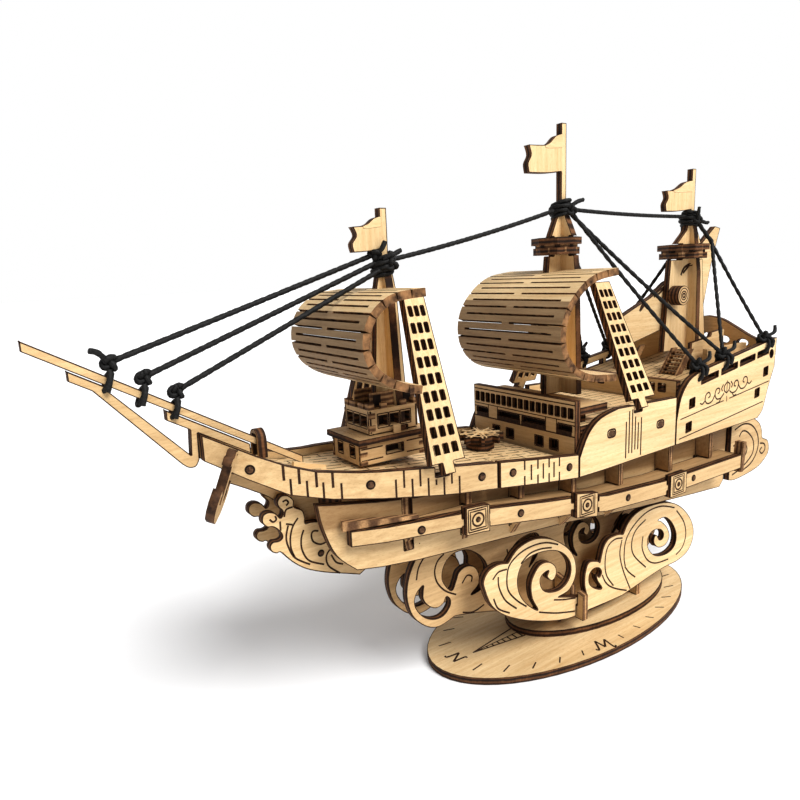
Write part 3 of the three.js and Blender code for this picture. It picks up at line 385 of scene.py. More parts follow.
def plate_sides(mesh, axis_name):
    """True for each polygon that is a face of the sheet, False for each cut edge."""
    if axis_name:
        axis = "xyz".index(axis_name)
        return [abs(p.normal[axis]) > 0.72 for p in mesh.polygons]
    tree = BVHTree.FromPolygons([v.co for v in mesh.vertices], [p.vertices for p in mesh.polygons])
    groups = {}
    for polygon in mesh.polygons:
        normal, centre = polygon.normal, polygon.center
        key = tuple(round(c, 2) for c in normal) + (round(normal.dot(centre) / MM, 1),)
        corners = [mesh.vertices[i].co for i in polygon.vertices]
        probes = [centre] + [centre.lerp(corner, 0.7) for corner in corners]
        hits = [tree.ray_cast(probe - normal * 2e-6, -normal) for probe in probes]
        thin = sum(found[0] is not None and 1.9 < found[3] / MM < 2.1 for found in hits) > 0.4 * len(hits)
        group = groups.setdefault(key, [0.0, 0.0, []])
        group[0] += polygon.area
        group[1] += polygon.area if thin else 0.0
        group[2].append(polygon.index)
    answer = [False] * len(mesh.polygons)
    for area, thin_area, members in groups.values():
        if thin_area > 0.5 * area:
            for index in members:
                answer[index] = True
    return answer


def edge_axis(mesh, sides):
    """The axis most of the sheet faces look along, so that the plies run across it."""
    total = [0.0, 0.0, 0.0]
    for polygon, is_face in zip(mesh.polygons, sides):
        if is_face:
            for k in range(3):
                total[k] += polygon.area * abs(polygon.normal[k])
    return "xyz"[total.index(max(total))]


def is_mast_face(polygon, mast_x):
    """True on the two crossed sheets of a mast, one along the keel and one across it."""
    place, normal = polygon.center / MM, polygon.normal
    half = PLY / 2 + 0.02
    along_keel = abs(normal.y) > 0.9 and abs(place.y) < half
    across_keel = abs(normal.x) > 0.9 and abs(place.x - mast_x) < half and abs(place.y) > PLY / 2
    return along_keel or across_keel


def sheet_faces(node_name, mesh):
    """Which polygons of a CAD node keep the pale face of the plywood."""
    if node_name in MAST_X:
        return [is_mast_face(p, MAST_X[node_name]) for p in mesh.polygons]
    if node_name.startswith("anchor"):
        return [abs(p.normal.dot(ANCHOR_NORMAL)) > 0.9 for p in mesh.polygons]
    known_axis = next((axis for axis, names in SHEET_NORMALS if node_name.startswith(names)), None)
    sides = plate_sides(mesh, known_axis)
    if node_name.startswith("forecastle"):
        low, high = CABIN_GAP
        sides = [abs(p.normal.z) > 0.9 or thin or p.area > 5e-6 and not low < p.center.z / MM < high
                 for p, thin in zip(mesh.polygons, sides)]
    return sides


def grain_of(node_name):
    if node_name.startswith(UPRIGHT):
        return "z"
    return "y" if node_name.startswith(ATHWART) else "x"


for node_name, node in nodes.items():
    mesh = node.data
    sides = sheet_faces(node_name, mesh)
    family = next((tone for names, tone in FAMILIES if node_name.startswith(names)), face)
    cut_edge = (rib_edge if node_name.startswith(SCORCHED_LIGHTLY) else edge)[edge_axis(mesh, sides)]
    mesh.materials.clear()
    mesh.materials.append(family[grain_of(node_name)])
    mesh.materials.append(anchor_edge if node_name.startswith("anchor") else cut_edge)
    for polygon, is_face in zip(mesh.polygons, sides):
        polygon.material_index = 0 if is_face else 1
        polygon.use_smooth = False

# ------------------------------------------------------------------ floor and light
FLOOR_HALF, FLOOR_Z = 6, -0.0002
SUN_TOWARD, SUN_ENERGY, SUN_ANGLE = (-0.16, 0.74, -0.82), 3.9, math.radians(34)
BRIGHT_SIDE = (0.278, 0.4155, 0.0)
BACKDROP = [(0.0, (0.30, 0.30, 0.31)), (0.5, (0.36, 0.36, 0.37)), (0.88, (1, 1, 1))]
floor_corners = [(x * FLOOR_HALF, y * FLOOR_HALF, FLOOR_Z) for x, y in ((-1, -1), (1, -1), (1, 1), (-1, 1))]
floor_mesh = bpy.data.meshes.new("floor")
floor_mesh.from_pydata(floor_corners, [], [(0, 1, 2, 3)])
floor = bpy.data.objects.new("floor", floor_mesh)
scene.collection.objects.link(floor)
floor_material, _, floor_shader = new_material("floor_paper")
floor_shader.inputs["Base Color"].default_value = (0.93, 0.93, 0.93, 1)
floor_shader.inputs["Roughness"].default_value = 0.9
floor_mesh.materials.append(floor_material)

world = bpy.data.worlds.new("studio")
world.use_nodes = True
sky = world.node_tree
direction = sky.nodes.new("ShaderNodeTexCoord")
toward = sky.nodes.new("ShaderNodeVectorMath")
toward.operation = "DOT_PRODUCT"
toward.inputs[1].default_value = BRIGHT_SIDE
lifted = sky.nodes.new("ShaderNodeMath")
lifted.operation = "ADD"
lifted.inputs[1].default_value = 0.5
sky.links.new(toward.outputs["Value"], lifted.inputs[0])
sky.links.new(direction.outputs["Generated"], toward.inputs[0])
backdrop = ramp(sky, lifted.outputs["Value"], BACKDROP)
sky.links.new(backdrop, sky.nodes["Background"].inputs["Color"])
sky.nodes["Background"].inputs["Strength"].default_value = 1.0
scene.world = world
scene.view_settings.view_transform = "Standard"
scene.view_settings.gamma = 0.86

sun_data = bpy.data.lights.new("key", "SUN")
sun_data.energy = SUN_ENERGY
sun_data.angle = SUN_ANGLE
sun = bpy.data.objects.new("key", sun_data)
sun.rotation_euler = Vector(SUN_TOWARD).to_track_quat("-Z", "Y").to_euler()
scene.collection.objects.link(sun)

# ------------------------------------------------------------------ lines engraved on a surface
PORT, STARBOARD, ABOVE, AHEAD = (0, 1, 0), (0, -1, 0), (0, 0, -1), (1, 0, 0)
VIEWS = {"port": PORT, "starboard": STARBOARD}
FAR = 200
surfaces = {}


def surface_of(names):
    """One search tree over the named pieces."""
    key = tuple(names)
    if key not in surfaces:
        corners, polygons = [], []
        for name in names:
            mesh = nodes[name].data if name in nodes else bpy.data.objects[name].data
            base = len(corners)
            corners.extend(v.co.copy() for v in mesh.vertices)
            polygons.extend([base + i for i in p.vertices] for p in mesh.polygons)
        surfaces[key] = BVHTree.FromPolygons(corners, polygons)
    return surfaces[key]


def hit(names, point, view):
    """The first surface point met along the view, through a 2-D design point of that view."""
    u, v = point
    start = {PORT: (u, -FAR, v), STARBOARD: (u, FAR, v), ABOVE: (u, v, FAR), AHEAD: (-FAR, u, v)}[view]
    place, normal, _, _ = surface_of(names).ray_cast(Vector(start) * MM, Vector(view))
    if place is None or normal.dot(Vector(view)) > -0.2:
        return None
    return place / MM, normal


def straight_run(points, step=1.6):
    """Points at close steps along straight lines."""
    dense = []
    corners = [Vector(p) for p in points]
    for a, b in zip(corners, corners[1:]):
        parts = max(1, math.ceil((b - a).length / step))
        dense.extend(a.lerp(b, k / parts) for k in range(parts))
    return dense + [corners[-1]]


def engrave(bm, names, line, view, width):
    """A burnt line laid wherever the named surfaces are met, broken where they end."""
    height, sunk, longest_step = 0.07, 0.04, 6
    run = []
    for point in list(line) + [None]:
        found = hit(names, point, view) if point is not None else None
        if found and (not run or (found[0] - run[-1][0]).length < longest_step):
            run.append(found)
            continue
        if len(run) > 1:
            add_strip(bm, [p for p, _ in run], [n for _, n in run], width, height, sunk)
        run = [found] if found else []


def finish_lines(bm, name):
    finish_mesh(bm, name, [burnt])


def curves(bm, names, view, width, *paths):
    """Smooth engraved lines of one width, seen along one view."""
    for path in paths:
        engrave(bm, names, spline(path, 6), view, width)


def straights(bm, names, view, width, *paths):
    """Straight-sided engraved lines of one width, seen along one view."""
    for path in paths:
        engrave(bm, names, straight_run(path), view, width)


def circle(cx, cz, radius, steps):
    """A closed run of points round a centre."""
    return [(cx + radius * math.cos(math.tau * k / steps), cz + radius * math.sin(math.tau * k / steps))
            for k in range(steps + 1)]


def rectangle(u0, u1, v0, v1):
    return [(u0, v0), (u1, v0), (u1, v1), (u0, v1), (u0, v0)]


def frame_round(u, v, half_u, half_v):
    """The four separate sides of a window's frame."""
    corners = rectangle(u - half_u, u + half_u, v - half_v, v + half_v)
    return list(zip(corners, corners[1:]))


def add_peg(dark, brown, names, point, view, radius=1.15):
    """A dowel end: a ring of painted shade for the gap round it, with a brown core."""
    found = hit(names, point, view)
    if found:
        place, normal = found
        add_disc(dark, place, normal, radius, 0.05, 20)
        add_disc(brown, place + normal * 0.03, normal, radius * 0.66, 0.3, 10)


# ------------------------------------------------------------------ stand waves
OUTER_WAVE = ([(-13.2, 12.1), (-21.9, 15.5), (-30.2, 20), (-35.3, 24.8), (-37.8, 30.7), (-38, 33.2),
               (-36.1, 35.5), (-32.5, 36.3), (-28.9, 35.6)],
              [(-28.9, 35.6), (-25.6, 38.6), (-20.6, 39.9), (-15.6, 39.4), (-10.3, 37.3), (-4.9, 33.5),
               (-1.7, 29.4), (-0.7, 25), (-1.6, 21.6), (-4.1, 19.1), (-8.4, 18.5)],
              [(-8.4, 18.5), (-0.9, 16), (4.3, 14.5)],
              [(4.3, 14.5), (3.2, 18.6), (3.5, 22.7), (5.1, 25.5), (8.7, 24.9), (10.4, 23.9)],
              [(10.4, 23.9), (12, 28.7), (14.6, 30.8), (18.8, 31), (21.6, 30.3)],
              [(21.6, 30.3), (24.3, 33.9), (29.3, 36.2), (36, 36.6), (44.7, 35.6), (52.2, 32.5), (58.5, 27),
               (61.5, 21.5), (61, 16.8), (57.8, 13.4), (51.9, 11.9), (46.1, 11.8), (39, 11.2), (22, 8.8)])
TIE_X = (34, 0.6)
KEEL_LINE = [(-74, 47.6), (-60, 46.6), (-5, 42.4), (24, 39), (56, 36.6), (80, 35.4)]
WAVE_FOOT = 4.2
RING_HOLE = [(-17.3, 17.3), (-21.3, 20.4), (-24.1, 24), (-25.3, 27.9), (-24.9, 31.2), (-22.9, 34), (-19, 35),
             (-14.4, 34.8), (-9.7, 33.6), (-6.1, 31.4), (-3.6, 28.1), (-3.2, 24.8), (-4.7, 22.1),
             (-7.8, 20.8), (-11.4, 21.1), (-14.4, 22.4), (-16, 24.6), (-16.2, 26.9), (-14.7, 28.1),
             (-12.7, 28.2), (-13.4, 26.6), (-11.8, 24.8), (-10.3, 25), (-9.4, 26.8), (-10, 29),
             (-12.7, 31.1), (-16.2, 31.3), (-18.7, 29.2), (-20.1, 26.2), (-19.6, 21.6)]
SMALL_HOLE = [(11.5, 14.7), (8.3, 15.8), (5.5, 18.3), (5.4, 21.2), (7.1, 22.6), (9.8, 22.2), (11.2, 20.3),
              (10.2, 19), (8.8, 20.1), (9.2, 18.1)]
REAR_HOLE = [(39.9, 30.3), (44.2, 30.3), (48.4, 27), (51, 22.2), (50.2, 18.2), (45.8, 16.5), (39.4, 17.6),
             (35.3, 21.2), (34.6, 24.7), (36.2, 26.8), (38.9, 27.3), (42, 26.4), (43.6, 24.5), (43.1, 22.8),
             (41.1, 22.9), (39.4, 25.1), (38.3, 24.2), (38.4, 22.4), (40.8, 20.3), (44.8, 20.2),
             (46.8, 22.8), (45.2, 26.4), (41.9, 29.3)]
OUTER_LINES = [
    [(-34.7, 32.4), (-32.6, 34), (-29.4, 33.9)],
    [(-32.7, 32.6), (-32.4, 29.3), (-30.1, 24.7), (-25.8, 20.7)],
    [(-34.5, 26.7), (-32.8, 23.1), (-28.5, 20.3)],
    [(-8.8, 35.4), (-13.8, 37.4), (-19, 38), (-24, 37.3), (-28.1, 35.1), (-29.4, 31.8), (-29, 27.4),
     (-25.8, 23.3), (-21.9, 20)],
    [(-11.5, 35.2), (-16.1, 36.1), (-20.7, 35.9), (-24, 33.9)],
    [(-16.8, 16.4), (-9, 13.4), (-0.2, 11)],
    [(5.1, 9.4), (13.9, 9), (21.7, 8.6)],
    [(21.3, 29.1), (17.4, 29.7), (14, 28.1), (12.8, 23.7), (13.6, 18.6), (17.2, 13.8)],
    [(21, 28.5), (20.1, 23.9), (22.1, 17.4), (26.5, 8.8)],
    [(11.5, 19.3), (13.7, 15.7), (18, 12.6), (26.5, 8.8)],
    [(49.3, 32.5), (41.6, 34.9), (33.9, 34.8), (27.3, 32.1), (23.1, 27.9), (22.3, 22.3), (23.1, 18.6)],
    [(33.2, 32.3), (28.1, 29.9), (26.1, 26.1), (27.4, 21.3), (34.1, 15)],
    [(32, 26.7), (31.8, 22.5), (34.7, 17.6), (39.5, 14.9), (46.8, 14.2)],
    [(50.6, 31.1), (55.2, 25.8), (56.8, 20.6), (55, 16.3), (51.3, 14.5)],
    [(22.8, 18.7), (25.1, 16), (28.5, 13.2)],
    [(-10.5, 18.2), (-6.4, 16.9), (-0.9, 15.6)],
]
INNER_LEFT = [(-40.8, 19.4), (-44.8, 18.4), (-48.1, 18.5), (-51.7, 20.5), (-55.1, 24.2), (-56.7, 28.6),
              (-56.9, 32.6), (-55.8, 36.9), (-53.5, 41)]
INNER_RING = [(-41.5, 27.7), (-43.4, 29.4), (-44.8, 32.2), (-44.3, 35.3), (-42.1, 37.8), (-38.7, 38.6),
              (-34.8, 37.7), (-30.9, 34.9), (-28.6, 31.7), (-28.2, 29.1), (-29, 26.4), (-31.1, 24.5),
              (-34.6, 24.1), (-31.6, 26.4), (-31.4, 29.4), (-33, 32.2), (-36, 33.4), (-38.9, 32.4),
              (-40.1, 30)]
INNER_LOW = [(-51.4, 32.3), (-53.2, 31.2), (-54.4, 29), (-53.9, 26.3), (-51.6, 23.2), (-48.4, 21.3),
             (-45.1, 21.1), (-42.8, 22.8), (-42.3, 24.9), (-43.6, 26.4), (-44.6, 24.8), (-46.9, 24.1),
             (-49.6, 25.4), (-51.6, 28.1), (-51.6, 30.6)]
INNER_LINES = [
    [(-44, 39.4), (-46.3, 37.9), (-47.4, 35.1), (-46.6, 31.6), (-43.9, 28.3), (-40.1, 25.9)],
    [(-37.9, 19.6), (-33.9, 18.4), (-29.7, 19.3)],
    [(-49.6, 41.6), (-52.6, 38.2), (-53.6, 34.6)],
    [(-37.8, 28.6), (-36, 30.4), (-34.2, 29.6), (-34.4, 28)],
    [(-26.4, 22.4), (-22, 24.6), (-19.6, 29), (-20.4, 34)],
]

RING_CENTRE = (-14.3, 26.5)
MOVED_RINGS = ((13, 30, 0.78, 0.78), (37, 26, -0.8, 0.8), (-13, 31, -0.6, 0.6))
OUTER_Y, INNER_Y = 14, 4.5


def moved(loop, cx, cz, wide, high):
    """The ring opening at another place and size, turned over where wide is negative."""
    ring_x, ring_z = RING_CENTRE
    return [(cx + wide * (p.x - ring_x), cz + high * (p.y - ring_z)) for p in spline(loop, 4, True)]


def flat(points):
    """Plain pairs, without the third number of a vector."""
    return [(p[0], p[1]) for p in points]


def tie_slots():
    """The two notches in the foot of a wave plate where the cross ties pass."""
    notch = []
    for x, top in zip(TIE_X, (12, 13.3)):
        notch += [(x + 1.3, WAVE_FOOT), (x + 1.3, top), (x - 1.3, top), (x - 1.3, WAVE_FOOT)]
    return notch


outer_outline = []
for part in OUTER_WAVE:
    outer_outline += flat(spline(part, 5))[:-1]
outer_outline += [(22, 8.8), (5.7, 9.1), (1.9, 9.2), (1.9, 13.3), (-0.7, 13.3), (-0.7, 9.4), (-4.6, 9.8),
                  (-9, 10.8)]
outer_holes = [flat(spline(loop, 4, True)) for loop in (RING_HOLE, SMALL_HOLE, REAR_HOLE)]
keel_edge = [(x, at(KEEL_LINE, x) + 1.2) for x in (-50, -40, -28, -10, 20, 52)]
inner_outline = flat(spline(INNER_LEFT, 5)) + keel_edge
inner_outline += flat(spline([(55.6, 27), (52, 19), (47, 14)], 5)) + [(40, WAVE_FOOT)] + tie_slots()
inner_outline += flat(spline([(-4, 5), (-13, 9), (-23, 14.6), (-32, 17.4), (-38.6, 19)], 4))
inner_holes = [flat(spline(loop, 4, True)) for loop in (INNER_RING, INNER_LOW)]
inner_holes += [moved(RING_HOLE, *place) for place in MOVED_RINGS]

lines = bmesh.new()
for side, sign in SIDES:
    outer_name, inner_name = f"wave_scroll_outer_{side}", f"wave_scroll_inner_{side}"
    for name, outline, holes, y, slot, faces, replaced in (
            (outer_name, outer_outline, outer_holes, -OUTER_Y, "ply_light", face, "wave_outer"),
            (inner_name, inner_outline, inner_holes, -INNER_Y, "ply_shaded", shade_face, "wave_inner")):
        piece = flat_plate(name, outline, holes, side_space(y * sign), PLY, faces["x"], edge["y"])
        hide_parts(f"{replaced}_{side}")
    curves(lines, [outer_name], VIEWS[side], 0.5, *OUTER_LINES)
    curves(lines, [inner_name], VIEWS[side], 0.5, *INNER_LINES)
finish_lines(lines, "wave_engraving")

# ------------------------------------------------------------------ stem and stern scrolls
CURL = [(-70.7, 41.5), (-74.7, 43), (-80.1, 45), (-85.2, 47.5), (-88.7, 50.4), (-91.3, 53.5), (-92.3, 53.6),
        (-93.5, 54.3), (-93.9, 55.6), (-93.1, 56.6), (-91.7, 56.5), (-90.7, 57), (-91, 58.4), (-92.6, 60.1),
        (-94.1, 60.5), (-95.2, 61.9), (-94.9, 63.5), (-93.5, 64), (-91.8, 63.3), (-90.7, 61.9), (-90, 63.2),
        (-91, 64.6), (-91.2, 66), (-90.1, 67.1), (-88.4, 66.8), (-87.1, 65.3), (-87.1, 63.7), (-85.1, 62.4),
        (-84.6, 60.5), (-84.6, 59), (-83.2, 59), (-80.6, 58.3), (-78.9, 56.2), (-78.2, 54)]
CURL_LINES = [
    [(-90.9, 61.1), (-91, 58.4), (-91.5, 56.8)],
    [(-89, 59.6), (-89.7, 57), (-89.4, 54.5), (-87.9, 51.2), (-84.2, 48.4)],
    [(-86.4, 60.8), (-87.9, 59), (-88.7, 56.4), (-88.7, 53.6), (-87.9, 51.2)],
    [(-85.2, 57.5), (-86, 55.3), (-85.9, 52.4), (-84.3, 49.4), (-80.5, 47.3)],
    [(-81.4, 56.2), (-82.7, 56.5), (-83.3, 55.6), (-82.9, 53.9), (-81.1, 52.7), (-79.3, 52.9)],
    [(-89.8, 61.9), (-89.2, 63.5), (-87.5, 63.8)],
    [(-89.5, 60.1), (-87.9, 59.5)],
    [(-77.4, 50.7), (-78.9, 50.4), (-79.8, 48.8), (-79.2, 46.4), (-76.3, 43.7)],
    [(-78.4, 49.2), (-77.2, 46.9), (-75.3, 45.8)],
    [(-93.4, 62.2), (-92.6, 61.4), (-91.8, 61.8), (-92, 62.7)],
    [(-89.9, 65.6), (-89, 65.8), (-88.5, 65.1), (-89.1, 64.5)],
]
STERN = [(78.6, 36.4), (84, 35.7), (97.3, 37), (104, 39.8), (106.4, 42.9), (105, 46.8), (101, 48.6),
         (100.2, 51.6), (97.6, 55.2), (91.8, 57.8), (84, 58.2), (78.6, 56.6)]
STERN_LINES = [
    [(84.3, 51.9), (86.3, 53.6), (90.1, 52.5), (94.4, 48.4), (94.2, 43.5), (87.9, 39.8), (80.8, 38)],
    [(81, 55), (86.6, 56.2), (92.6, 54.8), (97.2, 50.4), (98, 45), (94.4, 40.4), (88, 38.2)],
    [(80.6, 49), (84, 49.6), (88.4, 48.6), (90.2, 46), (88.4, 43.4), (84.6, 43), (83.6, 45.4), (85.8, 46.6)],
    [(99.4, 46.6), (102.6, 45.8), (103.4, 43.6), (101.4, 42.2), (99.6, 43.6), (101, 44.8)],
    [(80, 41.6), (83.6, 40.8), (88, 41.6)],
]
lines, dark, brown = bmesh.new(), bmesh.new(), bmesh.new()
stem_outline = flat(spline(CURL, 4)) + [(-66, 52), (-66, 44)]
for side, sign in SIDES:
    stem, stern = f"stem_scroll_{side}", f"stern_scroll_{side}"
    for name, outline, y, replaced in ((stem, stem_outline, -4.2, "stem_curl"),
                                       (stern, flat(spline(STERN, 5)), -16.4, "stern_wave")):
        piece = flat_plate(name, outline, [], side_space(y * sign), PLY, half_shade_face["x"],
                           edge["y"])
        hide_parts(f"{replaced}_{side}")
    curves(lines, [stem], VIEWS[side], 0.45, *CURL_LINES)
    curves(lines, [stern], VIEWS[side], 0.58, *STERN_LINES)
    add_peg(dark, brown, [stem], (-81.1, 50.4), VIEWS[side], 0.9)
finish_lines(lines, "scroll_engraving")

# ------------------------------------------------------------------ compass dial on the base
DIAL = ["compass_base"]
BASE_X, BASE_RX, BASE_RY = 10.8, 54.8, 26.2
DIAL_STEPS = 28


def dial_points(scale):
    """Points spaced evenly along a smaller copy of the base outline, from the bow end through port."""
    fine = [Vector((BASE_X - scale * BASE_RX * math.cos(math.tau * k / 720),
                    -scale * BASE_RY * math.sin(math.tau * k / 720))) for k in range(721)]
    total = sum((b - a).length for a, b in zip(fine, fine[1:]))
    answer, run = [], 0.0
    for first, second in zip(fine, fine[1:]):
        if run >= len(answer) * total / DIAL_STEPS and len(answer) < DIAL_STEPS:
            answer.append(first)
        run += (second - first).length
    return answer


LETTER = 2.3
LETTERS = {
    "N": [[(-1, -1), (-0.7, -0.9), (-0.6, 0.9)], [(-0.6, 0.9), (0.5, -0.9)],
          [(0.5, -0.9), (0.7, 0.9), (1.1, 1)]],
    "W": [[(-1.5, 0.8), (-1.1, 1), (-0.8, -0.9)], [(-0.8, -0.9), (0, 0.7)], [(0, 0.7), (0.6, -0.9)],
          [(0.6, -0.9), (1.1, 1), (1.5, 0.8)]],
    "E": [[(0.8, 1), (-0.7, 0.9), (-0.8, 0), (-0.7, -0.9), (0.8, -1)], [(-0.7, 0), (0.4, 0.05)]],
    "S": [[(0.8, 0.7), (0, 1), (-0.8, 0.6), (0, 0), (0.8, -0.6), (0, -1), (-0.8, -0.7)]],
}
LETTER_AT = {0: "N", 6: "W", 14: "S", 22: "E"}
POINTER_TIP, POINTER_LENGTH, POINTER_SPREAD = (-31, -1.4), 21.5, 3.2


def letter_stroke(stroke, centre, outward):
    """A letter's stroke with its foot towards the middle of the dial."""
    return [(centre.x + LETTER * (v * outward.x + u * outward.y),
             centre.y + LETTER * (v * outward.y - u * outward.x)) for u, v in stroke]


lines = bmesh.new()
for k, (far, near) in enumerate(zip(dial_points(0.93), dial_points(0.84))):
    if k not in LETTER_AT:
        straights(lines, DIAL, ABOVE, 0.42, [far.lerp(near, 0.1), near])
        continue
    centre, outward = far.lerp(near, 0.75), (far - near).normalized()
    strokes = [letter_stroke(stroke, centre, outward) for stroke in LETTERS[LETTER_AT[k]]]
    curves(lines, DIAL, ABOVE, 0.62, *strokes)
straights(lines, DIAL, ABOVE, 0.45, [POINTER_TIP, (-9.6, 1.8)], [POINTER_TIP, (-9.4, -4.6)])
straights(lines, DIAL, ABOVE, 0.3, [POINTER_TIP, (-9.5, -1.4)])
tip_x, tip_y = POINTER_TIP
for t in (0.15 + 0.1 * k for k in range(9)):
    x = tip_x + POINTER_LENGTH * t
    straights(lines, DIAL, ABOVE, 0.5, [(x, tip_y), (x, tip_y - POINTER_SPREAD * t)])
finish_lines(lines, "dial_engraving")

# ------------------------------------------------------------------ gunwale, quarter and wale
TOP = [(-106, 83.8), (-96, 78.2), (-90, 75.3), (-84, 73.3), (-75, 71.9), (-52, 69.7), (-38, 68.1), (-10, 65)]
LOW = [(-106, 78), (-98, 73), (-90, 68.5), (-81, 66.3), (-68, 64.5), (-55, 62.8), (-38, 61.2), (-10, 58.3)]
SHELF = [(-80, 58.4), (-45, 57.4), (-15, 53.8), (0, 51.2), (28, 49.4), (74, 49.2)]
RAIL = 4.6
MEDALLION_X = (-46.5, -9.2, 33.2)
KERF = 0.5
WAIST_KERFS = ((9.6, 60.1, 71.1), (11, 61.4, 74), (12.4, 61.2, 74.3), (13.8, 62, 73.4), (15.2, 61.8, 70),
               (16.6, 59.8, 71.3))
PLANK_LINES = [[(36.3, 67.3), (60.5, 69.8)], [(64, 70.1), (89.4, 72.7)],
               [(36, 61), (60.5, 63.2), (87.6, 65.9)], [(62.3, 71.2), (62.5, 69.2)]]
ORNAMENT = (62.2, 73.2)
ORNAMENT_LINES = [
    [(1.6, -0.6), (3.4, -1.8), (5.8, -1.6), (7, 0.2), (6.2, 1.8), (4.6, 1.6), (4.4, 0.4), (5.4, 0)],
    [(7, 0.2), (8.6, -1.6), (11, -1.8), (12.6, -0.4), (12.2, 1.4), (10.6, 1.8), (9.8, 0.6), (10.8, 0)],
    [(12.6, -0.4), (14, -1.2), (15.4, -0.6)],
    [(0.2, 2.6), (1.6, 1.6), (1.4, 0), (0, -1)],
    [(2.2, 2.4), (3.2, 1.2), (2.6, 0.2)],
    [(3.4, -1.8), (4.4, -3), (6, -3)],
]
BULWARK_PEGS = ((-97.5, 75.3), (-72.6, 68.6), (-43.3, 65.4), (-33.6, 64.6), (-13.8, 62.2))
GUN_PORTS = ((3.1, 68.8), (26, 67.7))
SKIN_SLOTS = ((41.6, 43.9), (57.9, 48.2))


def from_top(length, *stations):
    """Kerfs from the bulwark's upper edge down."""
    return [[(x, at(TOP, x) - 0.1), (x, at(TOP, x) - length)] for x in stations]


def from_low(length, *stations):
    """Kerfs from the bulwark's lower edge up."""
    return [[(x, at(LOW, x) + 0.1), (x, at(LOW, x) + length)] for x in stations]


def softened(amount):
    """Signed power that squares off a circle's sine or cosine."""
    return math.copysign(abs(amount) ** 0.6, amount)


def add_kerfs(sheets, view):
    """The saw kerfs that let the bulwark sheets bend."""
    straights(lines, sheets, view, 0.6, *from_top(3.7, -91, -87.9, -84.4, -80.9))
    straights(lines, sheets, view, KERF, *from_low(3.9, -89.7, -86.4, -83, -79.1))
    straights(lines, sheets, view, KERF, *from_low(4.6, *(-66.6 + 4.16 * k for k in range(5))))
    straights(lines, sheets, view, KERF, *from_top(4.4, *(-64.52 + 4.16 * k for k in range(4))))
    for job in (from_top, from_low):
        straights(lines, sheets, view, KERF, *job(2.6, -29.8, -25.4, -21.4, -17.6))
    for x in (-27.6, -23.5, -19.6):
        middle = (at(TOP, x) + at(LOW, x)) / 2
        straights(lines, sheets, view, KERF, [(x, middle - 2.1), (x, middle + 2.1)])
    straights(lines, sheets, view, KERF, *([(x, low), (x, high)] for x, low, high in WAIST_KERFS))


def add_ornament(sheets, view):
    """Plank lines and the mirrored scroll of the quarter."""
    cx, cz = ORNAMENT
    for path in PLANK_LINES:
        straights(lines, sheets, view, 0.34, path)
    for mirror in (1, -1):
        for path in ORNAMENT_LINES:
            placed = [(cx + mirror * u, cz + v + 0.11 * mirror * u) for u, v in path]
            curves(lines, sheets, view, 0.46, placed)
    straights(lines, sheets, view, 0.3, [(cx, cz - 1.2), (cx, cz + 3.2)])


def add_gun_port(sheets, view, x, z):
    """A rounded slot with the end of a tenon in it."""
    angles = [math.tau * k / 24 for k in range(25)]
    rounded = [(x + 1.7 * softened(math.cos(a)), z + 1.15 * softened(math.sin(a))) for a in angles]
    straights(lines, sheets, view, 0.5, rounded)
    place, normal = hit(sheets, (x, z), view)
    tenon = [place + Vector((u - x, -0.05 * normal.y, v - z)) * 0.72 for u, v in rounded[:-1]]
    add_prism(brown, tenon, normal * 0.25)


def add_rail_marks(rails, view):
    """Pegs and square medallions along the wale."""
    for x in (-61.5, -32.5, 9.3, 42.6):
        add_peg(dark, brown, rails, (x, at(SHELF, x) - RAIL / 2 + 0.2), view, 1.1)
    for x in MEDALLION_X:
        z = at(SHELF, x) - RAIL / 2 + 0.4
        for half in (2.9, 2.3):
            straights(lines, rails, view, 0.34, rectangle(x - half, x + half, z - half, z + half))
        straights(lines, rails, view, 0.5, circle(x, z, 1.7, 16))
        add_peg(dark, brown, rails, (x, z), view, 0.75)


lines = bmesh.new()
for side, view in VIEWS.items():
    sheets = [n for n in nodes if n.startswith(("gunwale", "quarter_sheet")) and n.endswith(side)]
    add_kerfs(sheets, view)
    add_ornament(sheets, view)
    for peg in BULWARK_PEGS:
        add_peg(dark, brown, sheets, peg, view)
    for port in GUN_PORTS:
        add_gun_port(sheets, view, *port)
    add_rail_marks([f"wale_{side}"], view)
    skins = [f"hull_skin_{side}"]
    straights(lines, skins, view, 1.1, *([(x, z - 1.7), (x, z + 1.7)] for x, z in SKIN_SLOTS))
    for z0, z1 in ((50.6, 49), (46.4, 44.6)):
        curves(lines, skins, view, 0.22, [(-64, z0), (-20, z1), (30, z1 - 1), (70, z1 + 1.6)])
finish_lines(lines, "hull_engraving")

# ------------------------------------------------------------------ planked decks
PLANK, UPPER_PLANK = 2.5, 2.8
lines = bmesh.new()
rng = random.Random(7)
for k in range(-8, 9):
    y = PLANK * k
    x = -97 + 3.4 * (k % 3)
    while x < -12:
        straights(lines, ["main_deck"], ABOVE, 0.34, [(x, y), (min(x + 5.2, -11), y)])
        x += 6.8
    x = -96 + rng.uniform(0, 8)
    while x < -12:
        straights(lines, ["main_deck"], ABOVE, 0.28, [(x, y + 0.1), (x, y + PLANK - 0.1)])
        x += rng.uniform(9, 15)
for deck, x0, x1 in (("house_deck", -6.4, 37), ("poop_deck", 42, 88)):
    for k in range(-7, 8):
        y = UPPER_PLANK * k
        straights(lines, [deck], ABOVE, 0.22, [(x0, y), (x1, y)])
        x = x0 + rng.uniform(0, 10)
        while x < x1:
            straights(lines, [deck], ABOVE, 0.22, [(x, y + 0.1), (x, y + UPPER_PLANK - 0.1)])
            x += rng.uniform(10, 16)
finish_lines(lines, "deck_engraving")

